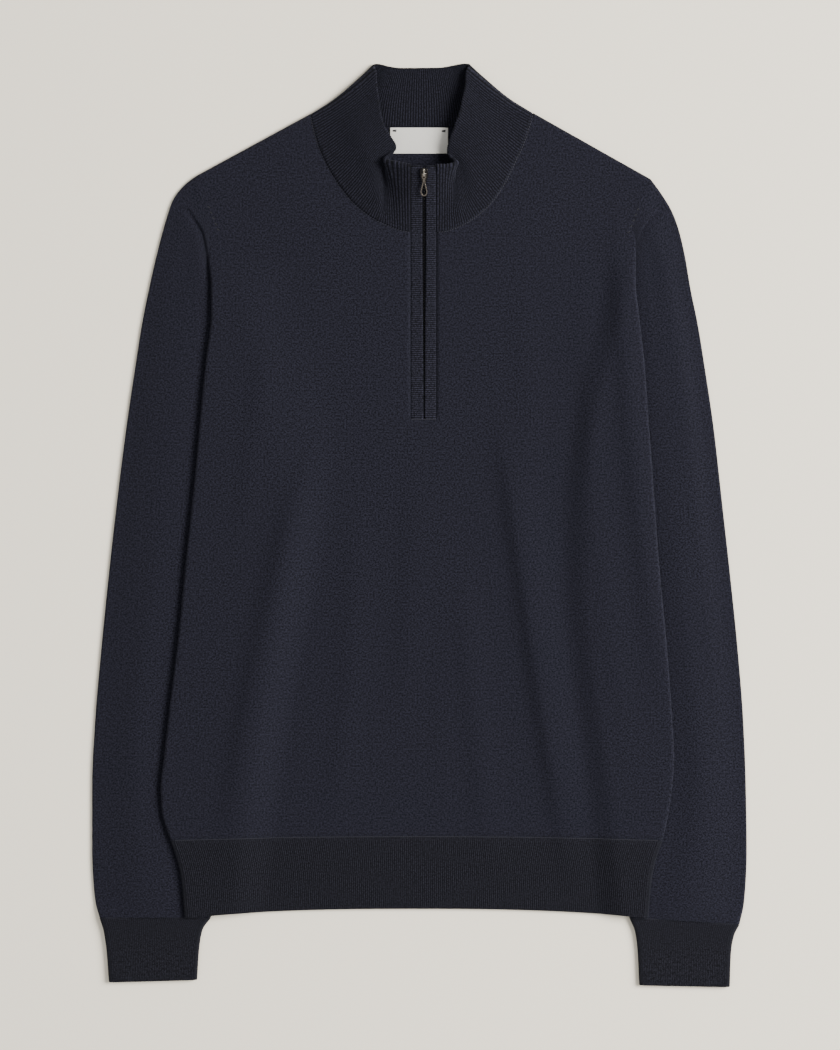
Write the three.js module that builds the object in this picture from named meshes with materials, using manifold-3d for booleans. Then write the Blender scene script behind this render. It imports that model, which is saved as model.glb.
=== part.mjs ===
// Quarter zip sweater in fine merino, laid flat on its back with the collar away from us.
// Millimetres. X runs to the right of the picture, Y towards the collar, Z up off the table.
// Every cloth piece is one wall: a middle surface worked out from the tables below, with an
// outer and an inner face half a thickness away from it along the surface's own normal.
import * as THREE from 'three';
import { mergeVertices } from 'three/addons/utils/BufferGeometryUtils.js';
import Module from 'manifold-3d';

const wasm = await Module();
wasm.setup();

const clamp01 = (t) => Math.min(1, Math.max(0, t));
const mix = (a, b, t) => a + (b - a) * t;
const mixPoints = (a, b, t) => a.map((value, i) => mix(value, b[i], t));
const ease = (from, to, t) => {
  const s = clamp01((t - from) / (to - from));
  return s * s * (3 - 2 * s);
};
// A round edge: 0 at the fold, 1 once a radius away from it
const curl = (distance, radius) => Math.sqrt(1 - (1 - clamp01(distance / radius)) ** 2);

// A smooth curve through values at rising places that never swings past them
function through(places, values) {
  const steps = places.slice(1).map((p, i) => (values[i + 1] - values[i]) / (p - places[i]));
  const slopes = places.map((p, i) => {
    const before = steps[Math.max(i - 1, 0)];
    const after = steps[Math.min(i, steps.length - 1)];
    if (i === 0 || i === places.length - 1) return i === 0 ? after : before;
    return before * after <= 0 ? 0 : (2 * before * after) / (before + after);
  });
  return (place) => {
    let i = 0;
    while (i < places.length - 2 && place > places[i + 1]) i += 1;
    const span = places[i + 1] - places[i];
    const s = clamp01((place - places[i]) / span);
    const keep = (1 + 2 * s) * (1 - s) ** 2;
    const start = span * s * (1 - s) ** 2;
    const end = span * s * s * (s - 1);
    return mix(values[i + 1], values[i], keep) + start * slopes[i] + end * slopes[i + 1];
  };
}
const column = (rows, name) => rows.map((row) => row[name]);
const upwards = (rows) => [...rows].sort((a, b) => a.y - b.y);

// Cloth thicknesses and gaps
const JERSEY = 1.2;
const RIB = 1.6;
const STRIP = 1.4;
const TAPE = 1.0;
const LABEL = 1.0;
const SEAM_GAP = 0.3;
const NECK_GAP = 0.8;
const RIB_RAISE = 0.35;
const COLLAR_RIB = 2.3;
const WELT_RIB = 1.7;

// Heights of the middle of each layer over the table, in the middle of the body
const BACK_LEVEL = JERSEY / 2;
const FRONT_LEVEL = 3.6;
const WELT_BACK_LEVEL = RIB / 2;
const WELT_FRONT_LEVEL = 3.7;
const CURL = 2.2;
const NECK_RISE = { height: 1.0, x: 3, y: 300, inner: 95, outer: 165 };

// Side edges of the body as it lies, from the underarm down to the bottom of the welt
const SIDES = [
  { y: 240, left: -180, right: 183.5 },
  { y: 205, left: -178.5, right: 182.5 },
  { y: 180, left: -178.5, right: 185 },
  { y: 140, left: -183, right: 189.5 },
  { y: 100, left: -187, right: 192.5 },
  { y: 40, left: -192.5, right: 197 },
  { y: -30, left: -200, right: 202 },
  { y: -100, left: -206.5, right: 208.5 },
  { y: -160, left: -213.5, right: 213 },
  { y: -200, left: -217.5, right: 215 },
  { y: -222, left: -220, right: 213.5 },
  { y: -243, left: -218.5, right: 210.5 },
  { y: -258, left: -214.5, right: 207.5 },
  { y: -268, left: -211, right: 205 },
  { y: -284, left: -205.5, right: 199.5 },
  { y: -300, left: -202, right: 196 },
  { y: -333, left: -199, right: 193 },
];
const sideRows = upwards(SIDES);
const leftSide = through(column(sideRows, 'y'), column(sideRows, 'left'));
const rightSide = through(column(sideRows, 'y'), column(sideRows, 'right'));
const WELT_SEAM = { side: -268, middle: -265 };
const WELT_BOTTOM = { side: -333, middle: -325.5 };

// Armhole seams, from the shoulder tip down to the underarm, which lies on the side edge
const ARMHOLES = [
  { down: 0, leftX: -190, leftY: 295.4, rightX: 195.5, rightY: 293 },
  { down: 0.33, leftX: -182.5, leftY: 276, rightX: 185.8, rightY: 274 },
  { down: 0.67, leftX: -178.5, leftY: 256, rightX: 181.4, rightY: 256 },
  { down: 1, leftX: leftSide(235), leftY: 235, rightX: rightSide(240), rightY: 240 },
];

// Sleeves, a row for each section from the armhole to the cuff seam: the outer fold, the inner
// fold (hidden under the body below the armpit), how far the section follows the armhole's curve,
// the height over the table and the share of the width that shows beside the body
const SLEEVES = [
  { leftOut: [-190.7, 295], leftIn: [-181.6, 235.2], rightOut: [196.2, 292.6], rightIn: [185.2, 240],
    bow: 1, height: 4.2, shows: 1 },
  { leftOut: [-199.8, 287.7], leftIn: [-181.8, 232.5], rightOut: [205, 280], rightIn: [185.3, 236.5],
    bow: 0.75, height: 4.2, shows: 1 },
  { leftOut: [-209.1, 275.8], leftIn: [-181.6, 228], rightOut: [213.4, 266], rightIn: [185.1, 231],
    bow: 0.45, height: 4.2, shows: 1 },
  { leftOut: [-215.9, 256.3], leftIn: [-181.2, 221], rightOut: [219.3, 250.3], rightIn: [184.9, 223],
    bow: 0.2, height: 4.2, shows: 1 },
  { leftOut: [-222.7, 230.8], leftIn: [-180.4, 210], rightOut: [224.4, 229], rightIn: [184.3, 211],
    bow: 0, height: 4.2, shows: 1 },
  { leftOut: [-229.5, 201], leftIn: [-176.5, 193], rightOut: [229.5, 199.3], rightIn: [180.5, 193],
    bow: 0, height: 4.2, shows: 0.9 },
  { leftOut: [-235.5, 171], leftIn: [-166.6, 165.5], rightOut: [235.5, 170], rightIn: [171, 165.5],
    bow: 0, height: 4.7, shows: 0.78 },
  { leftOut: [-241.8, 131], leftIn: [-154.7, 125], rightOut: [241.8, 131], rightIn: [159, 125],
    bow: 0, height: 5.2, shows: 0.64 },
  { leftOut: [-249, 82], leftIn: [-145.4, 77], rightOut: [249, 82], rightIn: [150, 77],
    bow: 0, height: 5.4, shows: 0.56 },
  { leftOut: [-256.7, 21], leftIn: [-140.3, 19], rightOut: [255.9, 21], rightIn: [144, 19],
    bow: 0, height: 5.4, shows: 0.52 },
  { leftOut: [-263.9, -43], leftIn: [-142, -43], rightOut: [263, -43], rightIn: [144, -43],
    bow: 0, height: 5.4, shows: 0.5 },
  { leftOut: [-270.3, -107], leftIn: [-150.5, -107], rightOut: [269.5, -107], rightIn: [150, -107],
    bow: 0, height: 5.4, shows: 0.5 },
  { leftOut: [-275.4, -166], leftIn: [-159.4, -166], rightOut: [274.1, -166], rightIn: [158, -166],
    bow: 0, height: 5.4, shows: 0.5 },
  { leftOut: [-278, -221], leftIn: [-167, -221], rightOut: [276.3, -221], rightIn: [165.5, -221],
    bow: 0, height: 5.4, shows: 0.52 },
  { leftOut: [-278, -277], leftIn: [-173.4, -277], rightOut: [277.1, -277], rightIn: [171.5, -277],
    bow: 0, height: 5.4, shows: 0.62 },
  { leftOut: [-275.4, -319], leftIn: [-177.2, -319], rightOut: [275, -319], rightIn: [176, -319],
    bow: 0, height: 5.4, shows: 0.74 },
  { leftOut: [-271.5, -333.8], leftIn: [-178.3, -333.8], rightOut: [270.8, -339.5],
    rightIn: [178.5, -333.8], bow: 0, height: 5.4, shows: 0.78 },
];
const SLEEVE_DOME = 1.6;
const SLEEVE_CREASE = { depth: 1.0, width: 3.4, top: 0.05, bottom: 0.3, across: 0.86 };

// Cuffs, from the seam down: the sleeve gathers in over the first centimetre
const CUFFS = [
  { leftOut: [-271.5, -334.4], leftIn: [-178.5, -334.4], rightOut: [270.6, -340.1],
    rightIn: [178.7, -334.4], height: 5.6 },
  { leftOut: [-268, -345], leftIn: [-185.4, -344], rightOut: [266, -349], rightIn: [183.5, -346],
    height: 5.4 },
  { leftOut: [-265.6, -361], leftIn: [-188.3, -360], rightOut: [263.4, -364], rightIn: [185.6, -362],
    height: 5.2 },
  { leftOut: [-263.5, -388], leftIn: [-190, -386], rightOut: [262.4, -392], rightIn: [187, -390.5],
    height: 5.2 },
];

// How far the body is lifted where it lies on a sleeve, down from the underarm
const LIFT = [
  { y: 240, rise: 0 },
  { y: 235, rise: 0 },
  { y: 225, rise: 1.5 },
  { y: 212, rise: 3.9 },
  { y: 200, rise: 5.0 },
  { y: 180, rise: 5.6 },
  { y: 150, rise: 6.0 },
  { y: 100, rise: 6.3 },
  { y: -340, rise: 6.3 },
];
const LIFT_START = 6;
const LIFT_SLOPE = 36;

// Long soft folds across the front, each a ridge or trough bending through three places
const FRONT_FOLDS = [
  { top: [-102, 60], middle: [-110, -75], bottom: [-146, -250], width: 21, height: 1.6 },
  { top: [91, 110], middle: [106, -60], bottom: [124, -250], width: 16, height: 1.5 },
  { top: [-62, 60], middle: [-66, -20], bottom: [-72, -120], width: 24, height: -1.0 },
  { top: [30, 60], middle: [24, -90], bottom: [28, -240], width: 30, height: 0.8 },
];

// The collar, a row for each rib that matters, from the left of the zip round to its right: the
// seam on the neck, two places up the band and the top edge. z is the middle of the wall. lean is
// how far round the neck, towards the zip, a rib that starts here has moved at the top edge.
const COLLAR_LEFT = [
  { name: 'zip', seam: [-7.95, 248.6, 4.6], low: [-7.95, 267, 8.5],
    high: [-7.95, 286, 14.5], top: [-7.95, 303.7, 20] },
  { name: 'front', seam: [-16, 250, 4.6], low: [-16.2, 267, 7.6],
    high: [-17, 286, 12.6], top: [-17.5, 306, 19] },
  { name: 'corner', seam: [-23.5, 252.5, 4.6], low: [-24, 268, 6.8],
    high: [-25, 287.5, 9.2], top: [-26.6, 308.6, 16.6] },
  { name: 'groove', lean: 4, seam: [-30.5, 255.5, 4.6], low: [-30.2, 270.8, 6.6],
    high: [-30.6, 291.3, 6.6], top: [-25.2, 314.5, 12.4] },
  { name: 'waist', lean: 10, seam: [-37.4, 259, 4.6], low: [-34.9, 275.8, 8],
    high: [-35.3, 298, 8.6], top: [-20.8, 320.5, 11] },
  { name: 'wing 1', lean: 17, seam: [-46.8, 265.2, 4.6], low: [-41.7, 283.5, 9.8],
    high: [-38.7, 306.4, 11.2], top: [-24.2, 328.5, 12.6] },
  { name: 'wing 2', lean: 23, seam: [-57.8, 275, 4.6], low: [-50.2, 295.4, 10.5],
    high: [-42.9, 318.3, 13], top: [-30.6, 338.7, 13.5] },
  { name: 'wing 3', lean: 25, seam: [-69.7, 290.3, 4.6], low: [-59.5, 309.8, 10.2],
    high: [-48.5, 330.2, 13], top: [-33.6, 350.6, 13] },
  { name: 'wing 4', lean: 21, seam: [-79.9, 307.7, 4.6], low: [-66.7, 324.3, 9.2],
    high: [-51.9, 342.1, 12], top: [-34.9, 361.7, 12] },
  { name: 'wing 5', lean: 11, seam: [-88, 327.7, 4.5], low: [-72.3, 340.9, 7.6],
    high: [-55.3, 354.5, 9.8], top: [-36.3, 372.7, 9.5] },
  { name: 'side', seam: [-92.2, 346.4, 4.1], low: [-75.7, 355.7, 5.3],
    high: [-57.8, 367.6, 6.7], top: [-37.9, 382.9, 6.2] },
  { name: 'fold', seam: [-92.3, 348.5, 2.5], low: [-72.3, 362.1, 3],
    high: [-54.4, 377.9, 3.3], top: [-38.6, 390, 3.1] },
  { name: 'behind', seam: [-89.3, 347.3, 0.8], low: [-69.7, 359.6, 0.8],
    high: [-52.7, 374.4, 0.8], top: [-36.6, 390.2, 0.8] },
  { name: 'back 1', seam: [-68, 342.6, 0.8], low: [-57.5, 357, 0.8],
    high: [-45.5, 373.5, 0.8], top: [-34.6, 389.8, 0.8] },
  { name: 'back 2', seam: [-43, 339.7, 0.8], low: [-40, 356, 0.8],
    high: [-36.5, 373, 0.8], top: [-31.5, 389.3, 0.8] },
  { name: 'back 3', seam: [-21, 338.2, 0.8], low: [-20.5, 354.6, 0.8],
    high: [-19.5, 371, 0.8], top: [-18, 387.8, 0.8] },
];
const COLLAR_RIGHT = [
  { name: 'zip', seam: [13.9, 248.6, 4.6], low: [13.9, 267, 8.5],
    high: [13.9, 286, 14.5], top: [13.9, 303.7, 20] },
  { name: 'front', seam: [21.2, 249.2, 4.6], low: [21.2, 267.3, 8.2],
    high: [21.2, 286.9, 13.5], top: [22.1, 303.9, 19.2] },
  { name: 'corner', seam: [28.9, 251.6, 4.6], low: [27.6, 268.2, 8],
    high: [26.8, 287.7, 11.2], top: [29.3, 306.9, 17] },
  { name: 'groove', lean: 4, seam: [35.7, 254.6, 4.6], low: [33.2, 270.7, 8.3],
    high: [30.6, 291.1, 9.8], top: [26.4, 312, 13] },
  { name: 'waist', lean: 10, seam: [43.4, 258.8, 4.6], low: [39.1, 275.8, 9],
    high: [35.3, 297.9, 10.5], top: [23.2, 317.9, 11] },
  { name: 'wing 1', lean: 17, seam: [52.7, 266, 4.6], low: [47.2, 283.5, 10],
    high: [40, 306.4, 12], top: [25.9, 328.1, 12.6] },
  { name: 'wing 2', lean: 23, seam: [62, 275.4, 4.6], low: [54.8, 295.4, 10.5],
    high: [44.6, 318.3, 13], top: [29.3, 338.3, 13.5] },
  { name: 'wing 3', lean: 25, seam: [72.3, 291.1, 4.6], low: [62.9, 309.8, 10],
    high: [50.2, 330.2, 13], top: [33.6, 350.6, 13] },
  { name: 'wing 4', lean: 21, seam: [80.3, 307.3, 4.6], low: [68.9, 324.3, 9.2],
    high: [54, 342.1, 12], top: [35.9, 361.7, 12] },
  { name: 'wing 5', lean: 11, seam: [88.8, 326.8, 4.5], low: [74, 340.9, 7.6],
    high: [57, 354.5, 9.8], top: [38.1, 372.7, 9.5] },
  { name: 'side', seam: [94.9, 347.2, 4.1], low: [77.8, 356.6, 5.3],
    high: [59.5, 369.3, 6.7], top: [39.8, 383.8, 6.2] },
  { name: 'fold', seam: [95.4, 349.4, 2.5], low: [74.8, 363, 3],
    high: [57, 377.9, 3.3], top: [41.3, 390.1, 3.1] },
  { name: 'behind', seam: [91.8, 347.3, 0.8], low: [71.4, 359.6, 0.8],
    high: [54.4, 374.4, 0.8], top: [39, 390.3, 0.8] },
  { name: 'back 1', seam: [70, 342.8, 0.8], low: [59, 357, 0.8],
    high: [47.5, 373.5, 0.8], top: [36.5, 389.9, 0.8] },
  { name: 'back 2', seam: [45, 339.8, 0.8], low: [42, 356, 0.8],
    high: [38, 373, 0.8], top: [33, 389.3, 0.8] },
  { name: 'back 3', seam: [22, 338.2, 0.8], low: [21.5, 354.6, 0.8],
    high: [20.5, 371, 0.8], top: [19, 387.8, 0.8] },
];

// Zip: the two strips meet over it, the pair a little right of the middle
const ZIP = {
  left: -7.65,
  right: 13.6,
  middle: 3.4,
  top: 303.7,
  seam: 248.6,
  bottom: 89.7,
  gapTop: 3.0,
  gapBottom: 1.2,
  proud: 0.2,
};
const TAPE_TOP = 301;
const TAPE_BOTTOM = 92;
const COIL = { halfWidth: 1.1, top: 299, bottom: 93 };

// Slider and pull, in a frame that lies on the strips' slope. Its origin is the middle of the
// slider's plate, on top, straight under the hinge. y runs up the zip.
const SLIDER = {
  y: 296.5,
  up: 4.6,
  down: 7,
  halfTop: 3.3,
  halfBottom: 2.5,
  narrowed: 0.6,
  shoulder: 1.4,
  tail: 1.2,
  thick: 1.8,
  post: 1.1,
  postUp: 2.6,
  postDown: 3,
};
const BRIDGE = { halfLength: 1.9, halfWidth: 0.75, inside: 1.9, height: 2.8, halfInside: 1.0, round: 1 };
const ROOT = 0.4;
const PULL = { hinge: 0.95, thick: 1.0, bar: 0.5, eye: 2.8, eyeHalf: 1.15, headHalf: 2.1, length: 19 };
const PULL_NECK = { half: 1.1, corner: 0.5, lip: 0.2 };
const PULL_LOOP = { start: 5.2, widest: 15.6, half: 3.1, flare: 3, swell: 3.4, round: 2.4, tip: 1.8 };
const PULL_HOLE = { start: 7.4, end: 17.6, half: 1.75, flare: 2, swell: 2.4, round: 1.4, tip: 0.9 };

const LABEL_SIZE = { left: -25.2, right: 23.6, top: 336.9, bottom: 315.4, rest: 1.5 };

// Colours as the photo shows them in its own light
const NAVY = '#25252f';
const NAVY_RIB = '#21212a';
const METAL = '#8b8781';
const SATIN = '#cfcdc8';
const DARK_TAPE = '#101016';

const liftRows = upwards(LIFT);
const liftAt = through(column(liftRows, 'y'), column(liftRows, 'rise'));

// Where the hidden inner fold of each sleeve runs
const foldRows = [...SLEEVES].reverse();
const leftFold = through(foldRows.map((r) => r.leftIn[1]), foldRows.map((r) => r.leftIn[0]));
const rightFold = through(foldRows.map((r) => r.rightIn[1]), foldRows.map((r) => r.rightIn[0]));

// How far the body is raised off the table by the sleeves under it
function lift(x, y) {
  const pastLeft = x - leftFold(y) - LIFT_START;
  const pastRight = rightFold(y) - LIFT_START - x;
  const left = 1 - ease(0, LIFT_SLOPE, pastLeft);
  const right = 1 - ease(0, LIFT_SLOPE, pastRight);
  return liftAt(y) * Math.max(left, right);
}

// A fold's height at a place: a soft ridge round a line that bends through its three places
function foldHeight(fold, x, y) {
  const [top, middle, bottom] = [fold.top, fold.middle, fold.bottom];
  const t = (y - bottom[1]) / (top[1] - bottom[1]);
  if (t < -0.25 || t > 1.25) return 0;
  const bend = (middle[1] - bottom[1]) / (top[1] - bottom[1]);
  const straight = mix(bottom[0], top[0], t);
  const bow = (middle[0] - mix(bottom[0], top[0], bend)) / (bend * (1 - bend));
  const line = straight + bow * t * (1 - t);
  const fade = ease(-0.2, 0.25, t) * (1 - ease(0.75, 1.2, t));
  return fold.height * fade * Math.exp(-(((x - line) / fold.width) ** 2));
}

function frontLevel(x, y) {
  const away = Math.hypot(x - NECK_RISE.x, y - NECK_RISE.y);
  const neck = NECK_RISE.height * (1 - ease(NECK_RISE.inner, NECK_RISE.outer, away));
  const folds = FRONT_FOLDS.reduce((sum, fold) => sum + foldHeight(fold, x, y), 0);
  return FRONT_LEVEL + lift(x, y) + neck + folds;
}
const backLevel = (x, y) => BACK_LEVEL + lift(x, y);

// Two layers that meet at their outer edges, each curling to the seam halfway between them
function layer(level, other, upper) {
  return (x, y, edge) => {
    const seam = (level(x, y) + other(x, y)) / 2 + (upper ? 1 : -1) * SEAM_GAP / 2;
    return mix(seam, level(x, y), curl(edge, CURL));
  };
}

// Collar
const stations = [...COLLAR_LEFT, ...[...COLLAR_RIGHT].reverse()];
const runAlong = stations.reduce((run, station, i) => {
  if (i === 0) return [0];
  const last = stations[i - 1].seam;
  const step = Math.hypot(...station.seam.map((value, axis) => value - last[axis]));
  return [...run, run[i - 1] + step];
}, []);
const seamLength = runAlong[runAlong.length - 1];
// Where a named row lies along the band, left of the zip and right of it
const runOf = (name) => runAlong.filter((run, i) => stations[i].name === name);
const collarCurves = ['seam', 'low', 'high', 'top'].map((level) => (
  [0, 1, 2].map((axis) => through(runAlong, stations.map((station) => station[level][axis])))));
const collarAt = (run, level) => collarCurves[level].map((curve) => curve(run));

const zipwards = stations.map((station, i) => (
  (station.lean ?? 0) * (i < COLLAR_LEFT.length ? -1 : 1)));
const leanAt = through(runAlong, zipwards);

function collarPoint(run, v) {
  const levels = [0, 1, 2, 3].map((level) => collarAt(run, level));
  return new THREE.Vector3(...[0, 1, 2].map((axis) => (
    through([0, 0.33, 0.67, 1], levels.map((point) => point[axis]))(v))));
}

// The panel's neck edge: the collar's seam, moved out against the run of the ribs
function neckEdge(run) {
  const seam = collarAt(run, 0);
  const low = collarAt(run, 1);
  const out = new THREE.Vector2(seam[0] - low[0], seam[1] - low[1]).setLength(NECK_GAP);
  return [seam[0] + out.x, seam[1] + out.y];
}
const [foldLeft, foldRight] = runOf('fold');
const [zipLeft, zipRight] = runOf('zip');

// Body panels: a patch between its welt seam, its two sides and its top edge. A side's bends fade
// out towards the neck.
const UNDERARM = 0.9;
const SHOULDER = 0.24;
const EDGE = 0.06;

function armhole(side) {
  const at = column(ARMHOLES, 'down');
  return [through(at, column(ARMHOLES, `${side}X`)), through(at, column(ARMHOLES, `${side}Y`))];
}

function sideLine(left) {
  const [armX, armY] = armhole(left ? 'left' : 'right');
  const side = left ? leftSide : rightSide;
  return (v) => {
    if (v > UNDERARM) {
      const down = (1 - v) / (1 - UNDERARM);
      return [armX(down), armY(down)];
    }
    const y = mix(WELT_SEAM.side, armY(1), v / UNDERARM);
    return [side(y), y];
  };
}

function neckLine(front) {
  return (t) => {
    if (!front) return neckEdge(mix(foldLeft, foldRight, (1 - Math.cos(Math.PI * t)) / 2));
    const half = 0.47;
    if (t < half) return neckEdge(mix(foldLeft, zipLeft, t / half));
    if (t > 1 - half) return neckEdge(mix(zipRight, foldRight, (t - 1 + half) / half));
    const [a, b] = [neckEdge(zipLeft), neckEdge(zipRight)];
    return mixPoints(a, b, (t - half) / (1 - 2 * half));
  };
}

function segmentDistance(x, y, a, b) {
  const [dx, dy] = [b[0] - a[0], b[1] - a[1]];
  const t = clamp01(((x - a[0]) * dx + (y - a[1]) * dy) / (dx * dx + dy * dy));
  return Math.hypot(x - a[0] - t * dx, y - a[1] - t * dy);
}

const leftLine = sideLine(true);
const rightLine = sideLine(false);

// Columns and rows close up within EDGE of a folded edge, so that the curl is round there. These
// give the share of the width or height at a column or row, and the column or row at a share.
function closeUp(u, share) {
  const near = Math.min(u, 1 - u);
  const inset = near < EDGE
    ? share * (1 - Math.cos((near / EDGE) * (Math.PI / 2)))
    : mix(share, 0.5, (near - EDGE) / (0.5 - EDGE));
  return u < 0.5 ? inset : 1 - inset;
}
function closeUpTop(v, share) {
  return v > 1 - EDGE
    ? 1 - share * (1 - Math.cos(((1 - v) / EDGE) * (Math.PI / 2)))
    : mix(0, 1 - share, v / (1 - EDGE));
}
const topShare = CURL / (leftLine(1)[1] - WELT_SEAM.side);
const sideShare = CURL / (rightLine(1)[0] - leftLine(1)[0]);
const rowAt = (share) => (share * (1 - EDGE)) / (1 - topShare);
const columnAt = (share) => EDGE + ((share - sideShare) / (0.5 - sideShare)) * (0.5 - EDGE);

function bodyPanel(front) {
  const left = leftLine;
  const right = rightLine;
  const neck = neckLine(front);
  const bottom = (u) => [
    mix(left(0)[0], right(0)[0], u),
    mix(WELT_SEAM.side, WELT_SEAM.middle, 4 * u * (1 - u)),
  ];
  const [neckStart, neckEnd] = [neckEdge(foldLeft), neckEdge(foldRight)];
  const top = (u) => {
    if (u < SHOULDER) return mixPoints(left(1), neckStart, u / SHOULDER);
    if (u > 1 - SHOULDER) return mixPoints(right(1), neckEnd, (1 - u) / SHOULDER);
    return neck((u - SHOULDER) / (1 - 2 * SHOULDER));
  };
  const [bottomLeft, bottomRight, topLeft, topRight] = [bottom(0), bottom(1), top(0), top(1)];
  const level = layer(front ? frontLevel : backLevel, front ? backLevel : frontLevel, front);
  return (u, v) => {
    const vv = closeUpTop(v, topShare);
    const uu = closeUp(u, CURL / (right(vv)[0] - left(vv)[0]));
    const [b, t, l, r] = [bottom(uu), top(uu), left(vv), right(vv)];
    const [byLeft, byRight] = [1 - ease(0, SHOULDER, uu), ease(1 - SHOULDER, 1, uu)];
    const [x, y] = [0, 1].map((i) => (
      mix(b[i], t[i], vv)
      + byLeft * (l[i] - mix(bottomLeft[i], topLeft[i], vv))
      + byRight * (r[i] - mix(bottomRight[i], topRight[i], vv))));
    const [armLeft, armRight] = [left(UNDERARM), right(UNDERARM)];
    const edges = [
      y < armLeft[1] ? x - leftSide(y) : Math.hypot(x - armLeft[0], y - armLeft[1]),
      y < armRight[1] ? rightSide(y) - x : Math.hypot(x - armRight[0], y - armRight[1]),
      segmentDistance(x, y, left(1), neckStart),
      segmentDistance(x, y, right(1), neckEnd),
    ];
    return new THREE.Vector3(x, y, level(x, y, Math.max(0, Math.min(...edges))));
  };
}

function weltPanel(front) {
  const upper = (x, y) => WELT_FRONT_LEVEL + lift(x, y);
  const lower = (x, y) => WELT_BACK_LEVEL + lift(x, y);
  const level = layer(front ? upper : lower, front ? lower : upper, front);
  return (u, v) => {
    const share = closeUp(u, CURL / (rightSide(WELT_SEAM.side) - leftSide(WELT_SEAM.side)));
    const low = mix(WELT_BOTTOM.side, WELT_BOTTOM.middle, 1 - Math.abs(1 - 2 * share) ** 2.5);
    const high = mix(WELT_SEAM.side, WELT_SEAM.middle, 4 * share * (1 - share)) - SEAM_GAP;
    const y = mix(low, high, v);
    const [l, r] = [leftSide(y), rightSide(y)];
    const x = mix(l, r, share);
    return new THREE.Vector3(x, y, level(x, y, Math.min(x - l, r - x)));
  };
}

// Sleeves and cuffs: a flattened tube through the table's sections. u runs from the outer fold
// over the top to the inner fold and back underneath, v from the first section to the last.
function flatTube(rows, side, thickness, dome, crease) {
  const at = rows.map((row, i) => i / (rows.length - 1));
  const curves = {};
  for (const end of ['Out', 'In']) {
    curves[end] = [0, 1].map((axis) => through(at, rows.map((row) => row[side + end][axis])));
  }
  const bowAt = through(at, rows.map((row) => row.bow ?? 0));
  const arm = armhole(side);
  const heightAt = through(at, column(rows, 'height'));
  const showsAt = through(at, rows.map((row) => row.shows ?? 1));
  return (u, v) => {
    const [outer, inner] = [curves.Out, curves.In].map((pair) => pair.map((curve) => curve(v)));
    const wide = Math.hypot(inner[0] - outer[0], inner[1] - outer[1]);
    const high = heightAt(v);
    const half = (high - thickness) / 2;
    const round = 1.45 * half;
    const over = u <= 0.5;
    const near = over ? Math.min(u, 0.5 - u) : Math.min(1 - u, u - 0.5);
    const inset = near < EDGE
      ? round * (1 - Math.cos((near / EDGE) * (Math.PI / 2)))
      : mix(round, wide / 2, (near - EDGE) / (0.25 - EDGE));
    const fromOuter = over ? u < 0.25 : u > 0.75;
    const along = fromOuter ? inset / wide : 1 - inset / wide;
    const bow = arm.map((curve) => bowAt(v) * (curve(along) - mix(curve(0), curve(1), along)));
    let z = high / 2 + (over ? 1 : -1) * half * curl(inset, round);
    if (over) {
      z += dome * Math.sin(Math.PI * clamp01(along / showsAt(v))) * ease(0, 3 * round, inset);
      const down = (v - crease.top) / (crease.bottom - crease.top);
      if (down > 0 && down < 1) {
        const gap = (along - crease.across) * wide;
        z -= crease.depth * Math.sin(Math.PI * down) * Math.exp(-((gap / crease.width) ** 2))
          * ease(0, 2 * round, inset);
      }
    }
    const [x, y] = [0, 1].map((axis) => mix(outer[axis], inner[axis], along) + bow[axis]);
    return new THREE.Vector3(x, y, z);
  };
}

// Walls
const STEP = 2e-5;

function normalAt(surface, u, v, closed, flip) {
  const [u0, u1] = closed ? [u - STEP, u + STEP] : [Math.max(0, u - STEP), Math.min(1, u + STEP)];
  const wrap = (t) => (closed ? (t + 1) % 1 : t);
  const alongU = surface(wrap(u1), v).sub(surface(wrap(u0), v));
  const alongV = surface(u, Math.min(1, v + STEP)).sub(surface(u, Math.max(0, v - STEP)));
  return alongU.cross(alongV).normalize().multiplyScalar(flip ? -1 : 1);
}

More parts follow.
